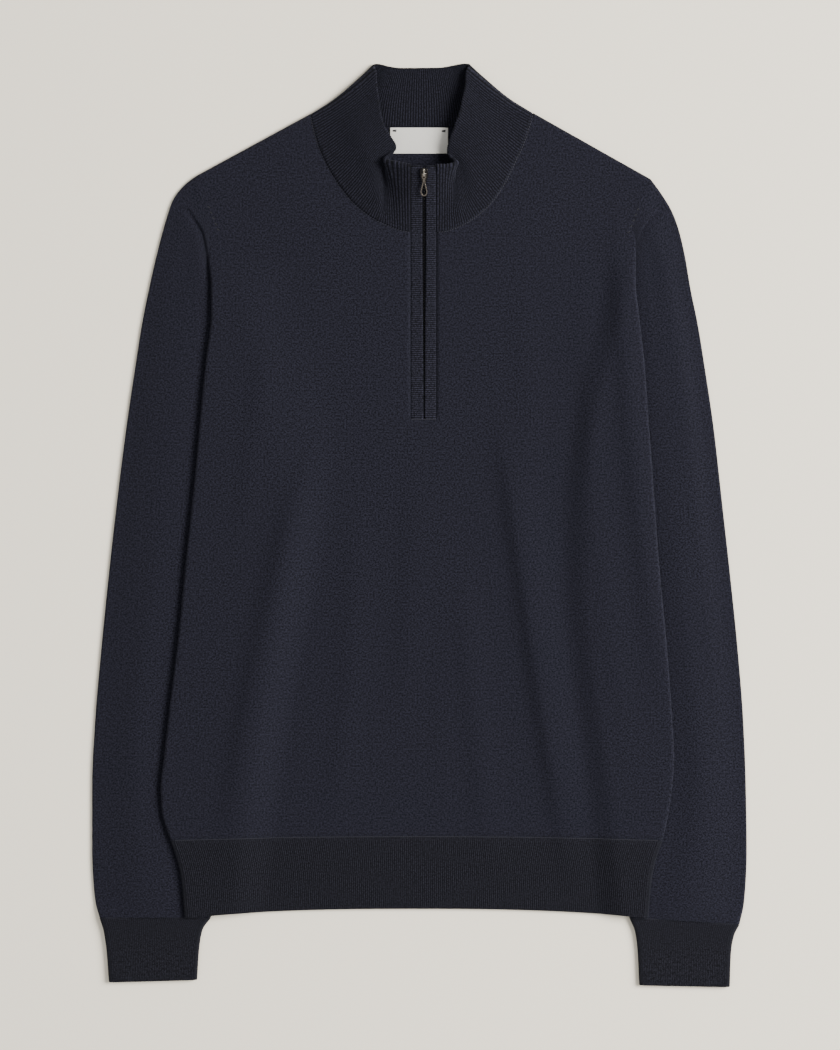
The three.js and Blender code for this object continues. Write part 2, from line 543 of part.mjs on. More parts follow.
// A wall with its own columns on each face. A column is { u, raise }, and raise lifts a rib.
function wall({ surface, outer, inner, rows, thickness, closed = false, flip = false }) {
  const positions = [];
  const triangles = [];
  const face = (columns, side) => columns.map(({ u, raise = 0 }) => rows.map((v) => {
    const offset = side * (thickness / 2 + raise);
    const point = surface(u, v).addScaledVector(normalAt(surface, u, v, closed, flip), offset);
    positions.push(point.x, point.y, point.z);
    return positions.length / 3 - 1;
  }));
  const add = (a, b, c) => triangles.push(...(flip ? [a, c, b] : [a, b, c]));
  const [out, inn] = [face(outer, 1), face(inner, -1)];
  const last = rows.length - 1;
  const wrapped = (grid) => (closed ? [...grid, grid[0]] : grid);
  const spread = (columns) => [...columns.map((c) => c.u), ...(closed ? [1 + columns[0].u] : [])];
  const [outGrid, inGrid] = [wrapped(out), wrapped(inn)];
  const skin = (grid, turn) => {
    for (let i = 0; i < grid.length - 1; i += 1) {
      for (let j = 0; j < last; j += 1) {
        const [a, b, c, d] = [grid[i][j], grid[i + 1][j], grid[i + 1][j + 1], grid[i][j + 1]];
        if (turn) {
          add(a, c, b);
          add(a, d, c);
        } else {
          add(a, b, c);
          add(a, c, d);
        }
      }
    }
  };
  skin(outGrid, false);
  skin(inGrid, true);
  // Join the two faces along the first and last rows, walking whichever side is behind
  const [outU, inU] = [spread(outer), spread(inner)];
  for (const [j, turn] of [[0, false], [last, true]]) {
    let [i, k] = [0, 0];
    while (i < outGrid.length - 1 || k < inGrid.length - 1) {
      const stepOut = k === inGrid.length - 1 || (i < outGrid.length - 1 && outU[i + 1] <= inU[k + 1]);
      const [a, b] = [outGrid[i][j], inGrid[k][j]];
      const next = stepOut ? outGrid[i + 1][j] : inGrid[k + 1][j];
      if (turn) add(a, next, b);
      else add(next, a, b);
      if (stepOut) i += 1;
      else k += 1;
    }
  }
  if (!closed) {
    for (let j = 0; j < last; j += 1) {
      const [a, b] = [outGrid[0], inGrid[0]];
      add(a[j], a[j + 1], b[j + 1]);
      add(a[j], b[j + 1], b[j]);
      const [c, d] = [outGrid[outGrid.length - 1], inGrid[inGrid.length - 1]];
      add(c[j + 1], c[j], d[j]);
      add(c[j + 1], d[j], d[j + 1]);
    }
  }
  const geometry = new THREE.BufferGeometry();
  geometry.setAttribute('position', new THREE.Float32BufferAttribute(positions, 3));
  geometry.setIndex(triangles);
  return geometry;
}

const columnsAt = (...values) => values.map((u) => ({ u }));
const evenly = (from, to, count) => Array.from({ length: count + 1 }, (_, i) => mix(from, to, i / count));
// Columns a third and two thirds of the way round a curled edge
const curlSteps = (...fractions) => fractions.map((f) => f * EDGE);
// Ribs: a raised line every pitch, with a plain line halfway between two of them
function ribs(from, to, pitchShare) {
  const count = 2 * Math.max(1, Math.round((to - from) / pitchShare));
  return evenly(from, to, count).map((u, i) => ({ u, raise: i % 2 ? RIB_RAISE : 0 }));
}

// Solids for joining and cutting
function solidOf(geometry) {
  const bare = geometry.clone();
  bare.deleteAttribute('normal');
  bare.deleteAttribute('uv');
  const merged = mergeVertices(bare, 1e-4);
  return new wasm.Manifold(new wasm.Mesh({
    numProp: 3,
    vertProperties: new Float32Array(merged.attributes.position.array),
    triVerts: new Uint32Array(merged.index.array),
  }));
}
function geometryOf(solid) {
  const mesh = solid.getMesh();
  const geometry = new THREE.BufferGeometry();
  geometry.setAttribute('position', new THREE.BufferAttribute(new Float32Array(mesh.vertProperties), 3));
  geometry.setIndex(new THREE.BufferAttribute(new Uint32Array(mesh.triVerts), 1));
  return geometry;
}
function box(x0, x1, y0, y1, z0, z1) {
  const geometry = new THREE.BoxGeometry(x1 - x0, y1 - y0, z1 - z0);
  return geometry.translate((x0 + x1) / 2, (y0 + y1) / 2, (z0 + z1) / 2);
}

// The body
const sideColumns = [
  ...curlSteps(0, 0.33, 0.67, 1),
  ...[0.05, 0.085, 0.12, 0.155, 0.195, 0.24].map(columnAt),
];
const mirrored = (half) => [...half, 0.5, ...half.map((u) => 1 - u).reverse()];
const bodyRows = [
  ...[0, 0.08, 0.2, 0.33, 0.46, 0.57, 0.67, 0.75, 0.81, 0.853, 0.876, UNDERARM].map(rowAt),
  ...[0.904, 0.93, 0.965].map(rowAt),
  ...[1, 0.67, 0.33, 0].map((f) => 1 - f * EDGE),
];
function bodyColumns(...neckColumns) {
  return columnsAt(...mirrored([...sideColumns, ...neckColumns]));
}
function frontGeometry() {
  const shoulder = sideColumns[sideColumns.length - 1];
  const columns = bodyColumns(shoulder + 0.002, shoulder + 0.008, ...evenly(shoulder, 0.5, 12).slice(1, -1));
  const panel = wall({
    surface: bodyPanel(true), outer: columns, inner: columns, rows: bodyRows, thickness: JERSEY,
  });
  const slit = box(
    ZIP.left - SEAM_GAP, ZIP.right + SEAM_GAP, ZIP.bottom - SEAM_GAP, ZIP.top, -JERSEY, ZIP.top);
  return geometryOf(solidOf(panel).subtract(solidOf(slit)));
}
function backGeometry() {
  const shoulder = sideColumns[sideColumns.length - 1];
  const columns = bodyColumns(...evenly(shoulder, 0.5, 4).slice(1, -1));
  return wall({
    surface: bodyPanel(false), outer: columns, inner: columns, rows: bodyRows,
    thickness: JERSEY, flip: true,
  });
}
function weltGeometry(front) {
  const inner = columnsAt(...mirrored(sideColumns));
  const curls = curlSteps(0, 0.33, 0.67);
  const middle = (WELT_SEAM.side + WELT_BOTTOM.side) / 2;
  const width = rightSide(middle) - leftSide(middle);
  const outer = [
    ...columnsAt(...curls),
    ...ribs(EDGE, 1 - EDGE, (WELT_RIB / width) * (1 - 2 * EDGE)),
    ...columnsAt(...curls.map((u) => 1 - u).reverse()),
  ];
  return wall({
    surface: weltPanel(front), outer: front ? outer : inner, inner, rows: [0, 1],
    thickness: RIB, flip: !front,
  });
}

// Sleeves and cuffs
function tubeColumns(stepsOver, stepsUnder) {
  const fold = curlSteps(0, 0.33, 0.67);
  const half = (steps) => [
    ...fold,
    ...evenly(EDGE, 0.5 - EDGE, steps),
    ...fold.slice(1).map((u) => 0.5 - u).reverse(),
  ];
  return [...half(stepsOver), ...half(stepsUnder).map((u) => 0.5 + u)];
}
const NO_CREASE = { ...SLEEVE_CREASE, depth: 0 };

function sleeveGeometry(side) {
  const surface = flatTube(SLEEVES, side, JERSEY, SLEEVE_DOME, SLEEVE_CREASE);
  const rows = evenly(0, 1, SLEEVES.length - 1);
  return wall({
    surface, outer: columnsAt(...tubeColumns(8, 4)), inner: columnsAt(...tubeColumns(5, 4)),
    rows, thickness: JERSEY, closed: true, flip: side === 'right',
  });
}
function cuffGeometry(side) {
  const surface = flatTube(CUFFS, side, RIB, 0, NO_CREASE);
  const fold = curlSteps(0, 0.33, 0.67);
  const width = CUFFS[1].leftIn[0] - CUFFS[1].leftOut[0];
  const under = [...fold, EDGE].slice(1);
  const outer = [
    ...columnsAt(...fold),
    ...ribs(EDGE, 0.5 - EDGE, (WELT_RIB / width) * (0.5 - 2 * EDGE)),
    ...columnsAt(...fold.map((u) => 0.5 - u).reverse()),
    ...columnsAt(...under.map((u) => 0.5 + u), 0.75, ...under.map((u) => 1 - u).reverse()),
  ];
  return wall({
    surface, outer, inner: columnsAt(...tubeColumns(2, 2)), rows: [0, 0.25, 1],
    thickness: RIB, closed: true, flip: side === 'right',
  });
}

// The collar is one band. Its ribs stand on the side that faces up: the outside in front and at
// the sides, and the inside at the back, where the outside rests on the table.
function collarGeometry() {
  const share = (run) => run / seamLength;
  const [frontEnd, frontStart] = [share(foldLeft), share(foldRight)];
  const [backStart, backEnd] = runOf('behind').map(share);
  const pitch = COLLAR_RIB / seamLength;
  const [seenFrom, seenTo] = runOf('back 2').map(share);
  const marks = runAlong.map(share);
  const plain = marks.filter((u) => u < frontEnd || u > frontStart);
  const halfway = plain.slice(1).map((u, i) => (u + plain[i]) / 2)
    .filter((u) => u < frontEnd || u > frontStart);
  const under = evenly(backStart, backEnd, 8);
  const [turnLeft, turnRight] = [(frontEnd + backStart) / 2, (backEnd + frontStart) / 2];
  const frontPlain = [...plain, ...halfway].sort((a, b) => a - b);
  const outer = [
    ...ribs(0, frontEnd, pitch),
    ...columnsAt(turnLeft, ...under, turnRight),
    ...ribs(frontStart, 1, pitch),
  ];
  const inner = [
    ...columnsAt(...frontPlain.filter((u) => u < frontEnd), frontEnd, turnLeft, backStart),
    ...ribs(seenFrom, seenTo, pitch),
    ...columnsAt(backEnd, turnRight, frontStart, ...frontPlain.filter((u) => u > frontStart)),
  ];
  const surface = (u, v) => collarPoint(u * seamLength + leanAt(u * seamLength) * v, v);
  const rows = [0, 0.22, 0.48, 0.76, 1];
  return wall({ surface, outer, inner, rows, thickness: RIB, flip: true });
}

// The zip's own height: up the collar's front edge, then down the front panel
const zipLevel = (x, y) => (y > ZIP.seam
  ? collarPoint(0, (y - ZIP.seam) / (ZIP.top - ZIP.seam)).z
  : frontLevel(x, y));

// Rows at the same places up the zip for the strips, the tapes and the teeth
const zipRows = (bottom, top) => [bottom, ...evenly(96, 297, 16), top].map(
  (y) => (y - bottom) / (top - bottom));

function stripGeometry(left) {
  const surface = (u, v) => {
    const y = mix(ZIP.bottom, ZIP.top, v);
    const half = mix(ZIP.gapBottom, ZIP.gapTop, ease(ZIP.bottom, ZIP.seam, y)) / 2;
    const x = left
      ? mix(ZIP.left, ZIP.middle - half, u)
      : mix(ZIP.middle + half, ZIP.right, u);
    return new THREE.Vector3(x, y, zipLevel(ZIP.middle, y) + ZIP.proud);
  };
  const columns = columnsAt(0, 0.5, 1);
  const rows = zipRows(ZIP.bottom, ZIP.top);
  return wall({ surface, outer: columns, inner: columns, rows, thickness: STRIP });
}
const tapeLevel = (y) => zipLevel(ZIP.middle, y) + ZIP.proud - STRIP / 2 - SEAM_GAP - TAPE / 2;

function underStrip(from, to, bottom, top) {
  const surface = (u, v) => {
    const y = mix(bottom, top, v);
    return new THREE.Vector3(mix(from, to, u), y, tapeLevel(y));
  };
  const columns = columnsAt(0, 1);
  const rows = zipRows(bottom, top);
  return wall({ surface, outer: columns, inner: columns, rows, thickness: TAPE });
}

// Slider: a shield-shaped plate on the strips, a post down between them to the teeth, and the
// arched bridge that the pull hangs on
function sliderGeometry() {
  const { up, down, halfTop, halfBottom, narrowed, shoulder, tail, thick } = SLIDER;
  const outline = new THREE.Shape();
  outline.moveTo(-halfTop * narrowed, up);
  outline.lineTo(-halfTop, up - shoulder);
  outline.lineTo(-halfBottom, -down + tail);
  outline.lineTo(-halfBottom * narrowed, -down);
  outline.lineTo(halfBottom * narrowed, -down);
  outline.lineTo(halfBottom, -down + tail);
  outline.lineTo(halfTop, up - shoulder);
  outline.lineTo(halfTop * narrowed, up);
  outline.closePath();
  const plate = new THREE.ExtrudeGeometry(outline, { depth: thick, bevelEnabled: false });
  plate.translate(0, 0, -thick);
  const stem = box(
    -SLIDER.post, SLIDER.post, -SLIDER.postDown, SLIDER.postUp, -thick - STRIP - SEAM_GAP, ROOT - thick);
  const { halfLength, halfWidth, inside, height, halfInside, round } = BRIDGE;
  const arch = new THREE.Shape();
  arch.moveTo(-halfLength, -ROOT);
  arch.lineTo(-halfLength, height - round);
  arch.quadraticCurveTo(-halfLength, height, -halfLength + round, height);
  arch.lineTo(halfLength - round, height);
  arch.quadraticCurveTo(halfLength, height, halfLength, height - round);
  arch.lineTo(halfLength, -ROOT);
  arch.lineTo(halfInside, -ROOT);
  arch.lineTo(halfInside, inside);
  arch.lineTo(-halfInside, inside);
  arch.lineTo(-halfInside, -ROOT);
  arch.closePath();
  const bridge = new THREE.ExtrudeGeometry(arch, {
    depth: 2 * halfWidth, bevelEnabled: false, curveSegments: 4,
  });
  // The arch is drawn along the zip and upwards, then pushed out sideways
  const turn = new THREE.Matrix4();
  turn.makeBasis(new THREE.Vector3(0, 1, 0), new THREE.Vector3(0, 0, 1), new THREE.Vector3(1, 0, 0));
  bridge.applyMatrix4(turn.setPosition(-halfWidth, 0, 0));
  return geometryOf(solidOf(plate).add(solidOf(stem)).add(solidOf(bridge)));
}

// One side of a teardrop, from its point round the wide end, then back up the other side
function teardrop(path, side, { start, half, flare, swell, round, tip }, neck, widest, end) {
  path.bezierCurveTo(
    side * (neck + 0.3), -start - flare, side * half, -widest + swell, side * half, -widest);
  path.bezierCurveTo(side * half, -widest - round, side * tip, -end, 0, -end);
  path.bezierCurveTo(-side * tip, -end, -side * half, -widest - round, -side * half, -widest);
  path.bezierCurveTo(
    -side * half, -widest + swell, -side * (neck + 0.3), -start - flare, -side * neck, -start);
}

function pullGeometry() {
  const { thick, bar, eye, eyeHalf, headHalf, length, hinge } = PULL;
  const { half, corner, lip } = PULL_NECK;
  const outline = new THREE.Shape();
  outline.moveTo(-headHalf + corner, bar);
  outline.lineTo(-headHalf, bar - corner);
  outline.lineTo(-headHalf, -eye + lip);
  outline.lineTo(-half, -PULL_LOOP.start);
  teardrop(outline, -1, PULL_LOOP, half, PULL_LOOP.widest, length);
  outline.lineTo(headHalf, -eye + lip);
  outline.lineTo(headHalf, bar - corner);
  outline.lineTo(headHalf - corner, bar);
  outline.closePath();
  const slot = new THREE.Path();
  slot.moveTo(-eyeHalf, -bar);
  slot.lineTo(-eyeHalf, -eye + corner);
  slot.lineTo(-eyeHalf + corner, -eye);
  slot.lineTo(eyeHalf - corner, -eye);
  slot.lineTo(eyeHalf, -eye + corner);
  slot.lineTo(eyeHalf, -bar);
  slot.closePath();
  const hole = new THREE.Path();
  hole.moveTo(0, -PULL_HOLE.start);
  teardrop(hole, -1, PULL_HOLE, 0, PULL_LOOP.widest, PULL_HOLE.end);
  outline.holes.push(slot, hole);
  const ring = new THREE.ExtrudeGeometry(outline, {
    depth: thick, bevelEnabled: false, curveSegments: 6,
  });
  return ring.translate(0, 0, hinge - thick / 2);
}

const labelGeometry = () => box(
  LABEL_SIZE.left, LABEL_SIZE.right, LABEL_SIZE.bottom, LABEL_SIZE.top,
  LABEL_SIZE.rest, LABEL_SIZE.rest + LABEL);

// The garment
const sweater = new THREE.Group();

function addPiece(parent, name, geometry, color, roughness = 0.9, metalness = 0) {
  const material = new THREE.MeshStandardMaterial({ color, roughness, metalness });
  const mesh = new THREE.Mesh(geometry, material);
  mesh.name = name;
  parent.add(mesh);
}

addPiece(sweater, 'front', frontGeometry(), NAVY);
addPiece(sweater, 'back', backGeometry(), NAVY);
for (const side of ['left', 'right']) {
  addPiece(sweater, `sleeve_${side}`, sleeveGeometry(side), NAVY);
  addPiece(sweater, `cuff_${side}`, cuffGeometry(side), NAVY_RIB);
  addPiece(sweater, `placket_${side}`, stripGeometry(side === 'left'), NAVY_RIB);
}
addPiece(sweater, 'hem_front', weltGeometry(true), NAVY_RIB);
addPiece(sweater, 'hem_back', weltGeometry(false), NAVY_RIB);
addPiece(sweater, 'collar', collarGeometry(), NAVY_RIB);

const coilLeft = ZIP.middle - COIL.halfWidth;
const coilRight = ZIP.middle + COIL.halfWidth;
const tape = (from, to) => underStrip(from, to, TAPE_BOTTOM, TAPE_TOP);
addPiece(sweater, 'zip_tape_left', tape(ZIP.left + SEAM_GAP, coilLeft - SEAM_GAP), DARK_TAPE);
addPiece(sweater, 'zip_tape_right', tape(coilRight + SEAM_GAP, ZIP.right - SEAM_GAP), DARK_TAPE);
addPiece(sweater, 'zip_coil', underStrip(coilLeft, coilRight, COIL.bottom, COIL.top), DARK_TAPE, 0.5);

const slope = Math.atan2(
  zipLevel(ZIP.middle, SLIDER.y + SLIDER.up) - zipLevel(ZIP.middle, SLIDER.y - SLIDER.down),
  SLIDER.up + SLIDER.down);
const plateTop = ZIP.proud + STRIP / 2 + SEAM_GAP + SLIDER.thick;
const hardware = new THREE.Group();
hardware.position.set(ZIP.middle, SLIDER.y, zipLevel(ZIP.middle, SLIDER.y) + plateTop / Math.cos(slope));
hardware.rotation.x = slope;
sweater.add(hardware);
addPiece(hardware, 'zip_slider', sliderGeometry(), METAL, 0.3, 1);
addPiece(hardware, 'zip_pull', pullGeometry(), METAL, 0.3, 1);

addPiece(sweater, 'label', labelGeometry(), SATIN, 0.5);

export default sweater;
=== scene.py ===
# %% [markdown]
# # A quarter zip sweater, laid flat
# The real sweater is knitted from very fine navy merino. Its panels are plain jersey, and its
# collar, cuffs and hem are ribbed. It lies on its back on a pale table, and we look straight down.
# A photograph of cloth is mostly about three things: the outline, the soft changes in height that
# catch the light, and the knit itself. This notebook makes the first two as real geometry, and the
# third as a material with small relief.

import math

import bmesh
import bpy
import numpy as np
from mathutils import Matrix, Vector


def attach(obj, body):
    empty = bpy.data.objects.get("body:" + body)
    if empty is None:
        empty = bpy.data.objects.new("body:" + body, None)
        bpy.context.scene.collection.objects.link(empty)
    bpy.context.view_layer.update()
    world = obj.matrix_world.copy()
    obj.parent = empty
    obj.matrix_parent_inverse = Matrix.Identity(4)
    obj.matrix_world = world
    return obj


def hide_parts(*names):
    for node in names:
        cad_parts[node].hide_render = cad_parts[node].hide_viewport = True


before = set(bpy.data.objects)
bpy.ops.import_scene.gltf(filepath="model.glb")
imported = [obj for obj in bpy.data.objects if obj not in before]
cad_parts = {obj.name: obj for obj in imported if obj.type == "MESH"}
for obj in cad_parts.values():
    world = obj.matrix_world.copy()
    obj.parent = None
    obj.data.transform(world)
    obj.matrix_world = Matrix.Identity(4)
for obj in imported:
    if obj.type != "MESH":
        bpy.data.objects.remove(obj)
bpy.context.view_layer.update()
MM = 0.001
print("CAD nodes:", len(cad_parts))

# %% [markdown]
# ## Smooth curves from a few rows
# A garment maker measures a garment at a few places and lets the cloth run smoothly between them.
# The tables below do the same, and `through` is the curve that joins their rows. It never swings
# past a value, so a straight edge stays straight. NumPy works out whole grids of points at once.

# %% Curves and rounded edges
def mix(a, b, t):
    return a + (b - a) * t


def ease(start, end, t):
    s = np.clip((t - start) / (end - start), 0, 1)
    return s * s * (3 - 2 * s)


def curl(distance, radius):
    """A round edge: 0 at the fold, 1 once a radius away from it."""
    return np.sqrt(np.clip(1 - (1 - np.clip(distance / radius, 0, 1)) ** 2, 0, 1))


def through(places, values):
    places, values = np.asarray(places, float), np.asarray(values, float)
    spans = np.diff(places).reshape(-1, *[1] * (values.ndim - 1))
    steps = np.diff(values, axis=0) / spans
    slopes = np.empty_like(values)
    slopes[0], slopes[-1] = steps[0], steps[-1]
    before, after = steps[:-1], steps[1:]
    turns = before * after <= 0
    total = np.where(turns, 1, before + after)
    slopes[1:-1] = np.where(turns, 0, 2 * before * after / total)

    def curve(t):
        t = np.clip(t, places[0], places[-1])
        i = np.clip(np.searchsorted(places, t, side="right") - 1, 0, len(places) - 2)
        span = places[i + 1] - places[i]
        s = (t - places[i]) / span
        extra = (1,) * (values.ndim - 1)
        s, span = np.reshape(s, np.shape(t) + extra), np.reshape(span, np.shape(t) + extra)
        keep = (1 + 2 * s) * (1 - s) ** 2
        start, end = span * s * (1 - s) ** 2, span * s * s * (s - 1)
        return mix(values[i + 1], values[i], keep) + start * slopes[i] + end * slopes[i + 1]

    return curve


def by_height(rows):
    rows = sorted(rows)
    return [through([r[0] for r in rows], [r[k] for r in rows]) for k in range(1, len(rows[0]))]


# %% [markdown]
# ## The sizes
# All sizes are millimetres, with X to the right, Y towards the collar and Z up off the table. They
# are the sweater's own: where its sides lie, how the sleeves fall beside it, how the collar stands.

# %% Thickness and height of each layer
JERSEY, RIB, STRIP, TAPE = 1.2, 1.6, 1.4, 1.0
BACK_LEVEL, FRONT_LEVEL = JERSEY / 2, 3.6
WELT_BACK_LEVEL, WELT_FRONT_LEVEL = RIB / 2, 2.9
SEAM_GAP = 0.3
CURL = 2.0
COLLAR_RIB, WELT_RIB, STRIP_RIB, RIB_RAISE = 2.3, 1.7, 1.75, 0.5

# %% Body sides, armholes and sleeves
# y, left edge, right edge, from the underarm down to the bottom of the hem
SIDES = [
    (240, -181, 183.5), (225, -179.2, 182.9), (205, -176.8, 182.5), (180, -176.6, 185),
    (140, -181, 189.5),
    (100, -185, 192.5), (40, -190.5, 197), (-30, -198, 202), (-100, -205, 208.5),
    (-160, -212.5, 213), (-200, -217, 215), (-222, -219.5, 213.5), (-243, -218.5, 210.5),
    (-258, -214.5, 207.5), (-268, -211, 205), (-284, -205.5, 199.5), (-300, -202, 196),
    (-333, -199, 193),
]
left_side, right_side = by_height(SIDES)
WELT_SEAM = (-268, -265)
WELT_BOTTOM = (-333, -325.5)
UNDERARM_LEFT, UNDERARM_RIGHT = 235, 240
# How far down the armhole, then x and y on the left and on the right
ARMHOLES = {
    "left": [(0, -190, 295.4), (0.33, -182.5, 276), (0.67, -178.5, 256),
             (1, float(left_side(UNDERARM_LEFT)), UNDERARM_LEFT)],
    "right": [(0, 195.5, 293), (0.33, 185.8, 274), (0.67, 181.4, 256),
              (1, float(right_side(UNDERARM_RIGHT)), UNDERARM_RIGHT)],
}
# Outer fold x and y, inner fold x and y, share of the armhole's curve, height, share that shows
SLEEVES = {
    "left": [
        (-190, 295.4, float(left_side(235)), 235, 1, 4.2, 1),
        (-199.8, 287.7, -178.9, 232.5, 0.75, 4.2, 1), (-209.1, 275.8, -177.8, 228, 0.45, 4.2, 1),
        (-215.9, 256.3, -176, 221, 0.2, 4.2, 1), (-222.7, 230.8, -173.6, 210, 0, 4.2, 0.96),
        (-229.5, 201, -170.5, 193, 0, 4.2, 0.88),
        (-235.5, 171, -166.6, 165.5, 0, 4.7, 0.78), (-241.8, 131, -154.7, 125, 0, 5.2, 0.64),
        (-249, 82, -145.4, 77, 0, 5.4, 0.56), (-256.7, 21, -140.3, 19, 0, 5.4, 0.52),
        (-263.9, -43, -142, -43, 0, 5.4, 0.5), (-270.3, -107, -150.5, -107, 0, 5.4, 0.5),
        (-275.4, -166, -159.4, -166, 0, 5.4, 0.5), (-278, -221, -167, -221, 0, 5.4, 0.52),
        (-278, -277, -173.4, -277, 0, 5.4, 0.62), (-275.4, -319, -177.2, -319, 0, 5.4, 0.74),
        (-271.5, -333.8, -178.3, -333.8, 0, 5.4, 0.78),
    ],
    "right": [
        (195.5, 293, float(right_side(240)), 240, 1, 4.2, 1),
        (205, 280, 183.1, 236.5, 0.75, 4.2, 1), (213.4, 266, 182.4, 231, 0.45, 4.2, 1),
        (219.3, 250.3, 181.2, 223, 0.2, 4.2, 1), (224.4, 229, 179.6, 211, 0, 4.2, 0.97),
        (229.5, 199.3, 177, 193, 0, 4.2, 0.9),
        (235.5, 170, 171, 165.5, 0, 4.7, 0.78), (241.8, 131, 159, 125, 0, 5.2, 0.64),
        (249, 82, 150, 77, 0, 5.4, 0.56), (255.9, 21, 144, 19, 0, 5.4, 0.52),
        (263, -43, 144, -43, 0, 5.4, 0.5), (269.5, -107, 150, -107, 0, 5.4, 0.5),
        (274.1, -166, 158, -166, 0, 5.4, 0.5), (276.3, -221, 165.5, -221, 0, 5.4, 0.52),
        (277.1, -277, 171.5, -277, 0, 5.4, 0.62), (275, -319, 176, -319, 0, 5.4, 0.74),
        (270.8, -339.5, 178.5, -333.8, 0, 5.4, 0.78),
    ],
}
# The cuffs have the same columns, without the armhole's share and the share that shows
CUFFS = {
    "left": [(-271.5, -334, -178.5, -334, 0, 5.6, 1), (-268, -345, -185.4, -344, 0, 5.4, 1),
             (-265.6, -361, -188.3, -360, 0, 5.2, 1), (-263.5, -388, -190, -386, 0, 5.2, 1)],
    "right": [(270.6, -339.7, 178.7, -334, 0, 5.6, 1), (266, -349, 183.5, -346, 0, 5.4, 1),
              (263.4, -364, 185.6, -362, 0, 5.2, 1), (262.4, -392, 187, -390.5, 0, 5.2, 1)],
}
# y, and how far the body is lifted there where it lies on a sleeve
LIFT = [(240, 0), (235, 0), (225, 1.5), (212, 3.9), (200, 5), (180, 5.6), (150, 6), (100, 6.3),
        (-230, 6.3), (-270, 5.8), (-340, 5.8)]
# y, then how far in from the hidden sleeve the lift's slope starts and how wide it is, left and right
LIFT_SLOPES = [(240, 12, 62, 0, 26), (100, 14, 60, 0, 24), (-20, 20, 42, 0, 24), (-150, 20, 34, 2, 24),
               (-340, 16, 34, 2, 26)]
print("sweater width at the hem, mm:", round(float(right_side(-300) - left_side(-300))))

# %% Long soft folds, placed where the light shows them
# Each is a ridge, or a trough where its height is below 0, that bends through three places. Its
# flanks have their own widths, because pressed cloth falls steeply on one side and softly on the
# other.
FRONT_FOLDS = [
    dict(path=[(-96, 45), (-132, -95), (-159, -255)], left=11, right=20, height=4.0),
    dict(path=[(73, 62), (97, -105), (122, -262)], left=9, right=22, height=4.8),
    dict(path=[(36, -50), (46, -165), (57, -262)], left=11, right=15, height=1.8),
    dict(path=[(140, 185), (148, 20), (172, -170)], left=9, right=12, height=1.0),
    dict(path=[(169, 238), (180, 72), (201, -112)], left=9, right=14, height=2.4),
    dict(path=[(-4, 40), (-9, -60), (-14, -150)], left=9, right=14, height=1.2),
    dict(path=[(-55, 0), (-58, -90), (-72, -240)], left=11, right=14, height=1.3),
    dict(path=[(-131, 150), (-141, 75), (-150, 0)], left=9, right=14, height=1.0),
    dict(path=[(15, 20), (20, -110), (22, -225)], left=14, right=12, height=0.7),
    dict(path=[(88, 190), (92, 110), (98, 30)], left=12, right=14, height=0.8),
    dict(path=[(-92, 215), (-96, 130), (-90, 50)], left=16, right=16, height=0.7),
]
BACK_FOLDS = [
    dict(path=[(60, 180), (72, 20), (90, -180)], left=20, right=14, height=0.6),
    dict(path=[(-70, 150), (-86, 0), (-98, -200)], left=14, right=20, height=0.6),
    dict(path=[(10, 120), (4, -20), (12, -230)], left=16, right=16, height=0.4),
]

# %% The collar: each row is a rib's line from the neck seam to the top edge
# lean, seam, two places up the band, top edge. lean is how far a rib has moved towards the zip.
COLLAR_LEFT = [
    ("zip", 0, (-7.95, 248.6, 4.6), (-7.95, 267, 8.5), (-7.95, 286, 14.5), (-7.95, 303.7, 20)),
    ("front", 0, (-16, 250, 4.6), (-16.2, 267, 7), (-17, 286, 11.6), (-17.5, 306, 19)),
    ("corner", 0, (-23.5, 252.5, 4.6), (-24, 268, 5.5), (-25.4, 287.5, 7.4), (-29.4, 309.4, 16.2)),
    ("groove", 4, (-30.5, 255.5, 4.6), (-30.2, 270.8, 5.2), (-30.6, 291.3, 5),
     (-25.6, 315.2, 12.4)),
    ("waist", 10, (-37.4, 259, 4.6), (-34.9, 275.8, 7.2), (-35.3, 298, 8.4), (-20.2, 320.8, 11)),
    ("wing 1", 17, (-46.8, 265.2, 4.6), (-41.7, 283.5, 8), (-38.7, 306.4, 10.6),
     (-24.2, 328.5, 11.4)),
    ("wing 2", 23, (-57.8, 275, 4.6), (-50.2, 295.4, 8.4), (-42.9, 318.3, 11.6),
     (-30.6, 338.7, 11.8)),
    ("wing 3", 25, (-69.7, 290.3, 4.6), (-59.5, 309.8, 8.2), (-48.5, 330.2, 11.4),
     (-33.6, 350.6, 11.4)),
    ("wing 4", 21, (-79.9, 307.7, 4.6), (-66.7, 324.3, 7.6), (-51.9, 342.1, 10.6),
     (-34.9, 361.7, 10.4)),
    ("wing 5", 11, (-88, 327.7, 4.5), (-72.3, 340.9, 6.6), (-55.3, 354.5, 8.8),
     (-36.3, 372.7, 8.6)),
    ("side", 0, (-92.2, 346.4, 4.1), (-75.7, 355.7, 5.3), (-57.8, 367.6, 6.9), (-36.8, 385.4, 6.6)),
    ("fold", 0, (-92.3, 348.5, 2.5), (-72.3, 362.1, 3), (-54.6, 377.9, 3.3), (-40, 389.8, 3.1)),
    ("behind", 0, (-89.3, 347.3, 0.8), (-69.7, 359.6, 0.8), (-52.7, 374.4, 0.8),
     (-37, 391.6, 0.8)),
    ("back 1", 0, (-68, 342.6, 0.8), (-57.5, 357, 0.8), (-44.5, 373.5, 0.8), (-32, 390.8, 0.8)),
    ("back 2", 0, (-43, 339.7, 0.8), (-39, 356, 0.8), (-33.5, 373, 0.8), (-26.5, 389.2, 0.8)),
    ("back 3", 0, (-21, 338.2, 0.8), (-19.8, 354.6, 0.8), (-17.8, 371, 0.8), (-14.5, 387.8, 0.8)),
]
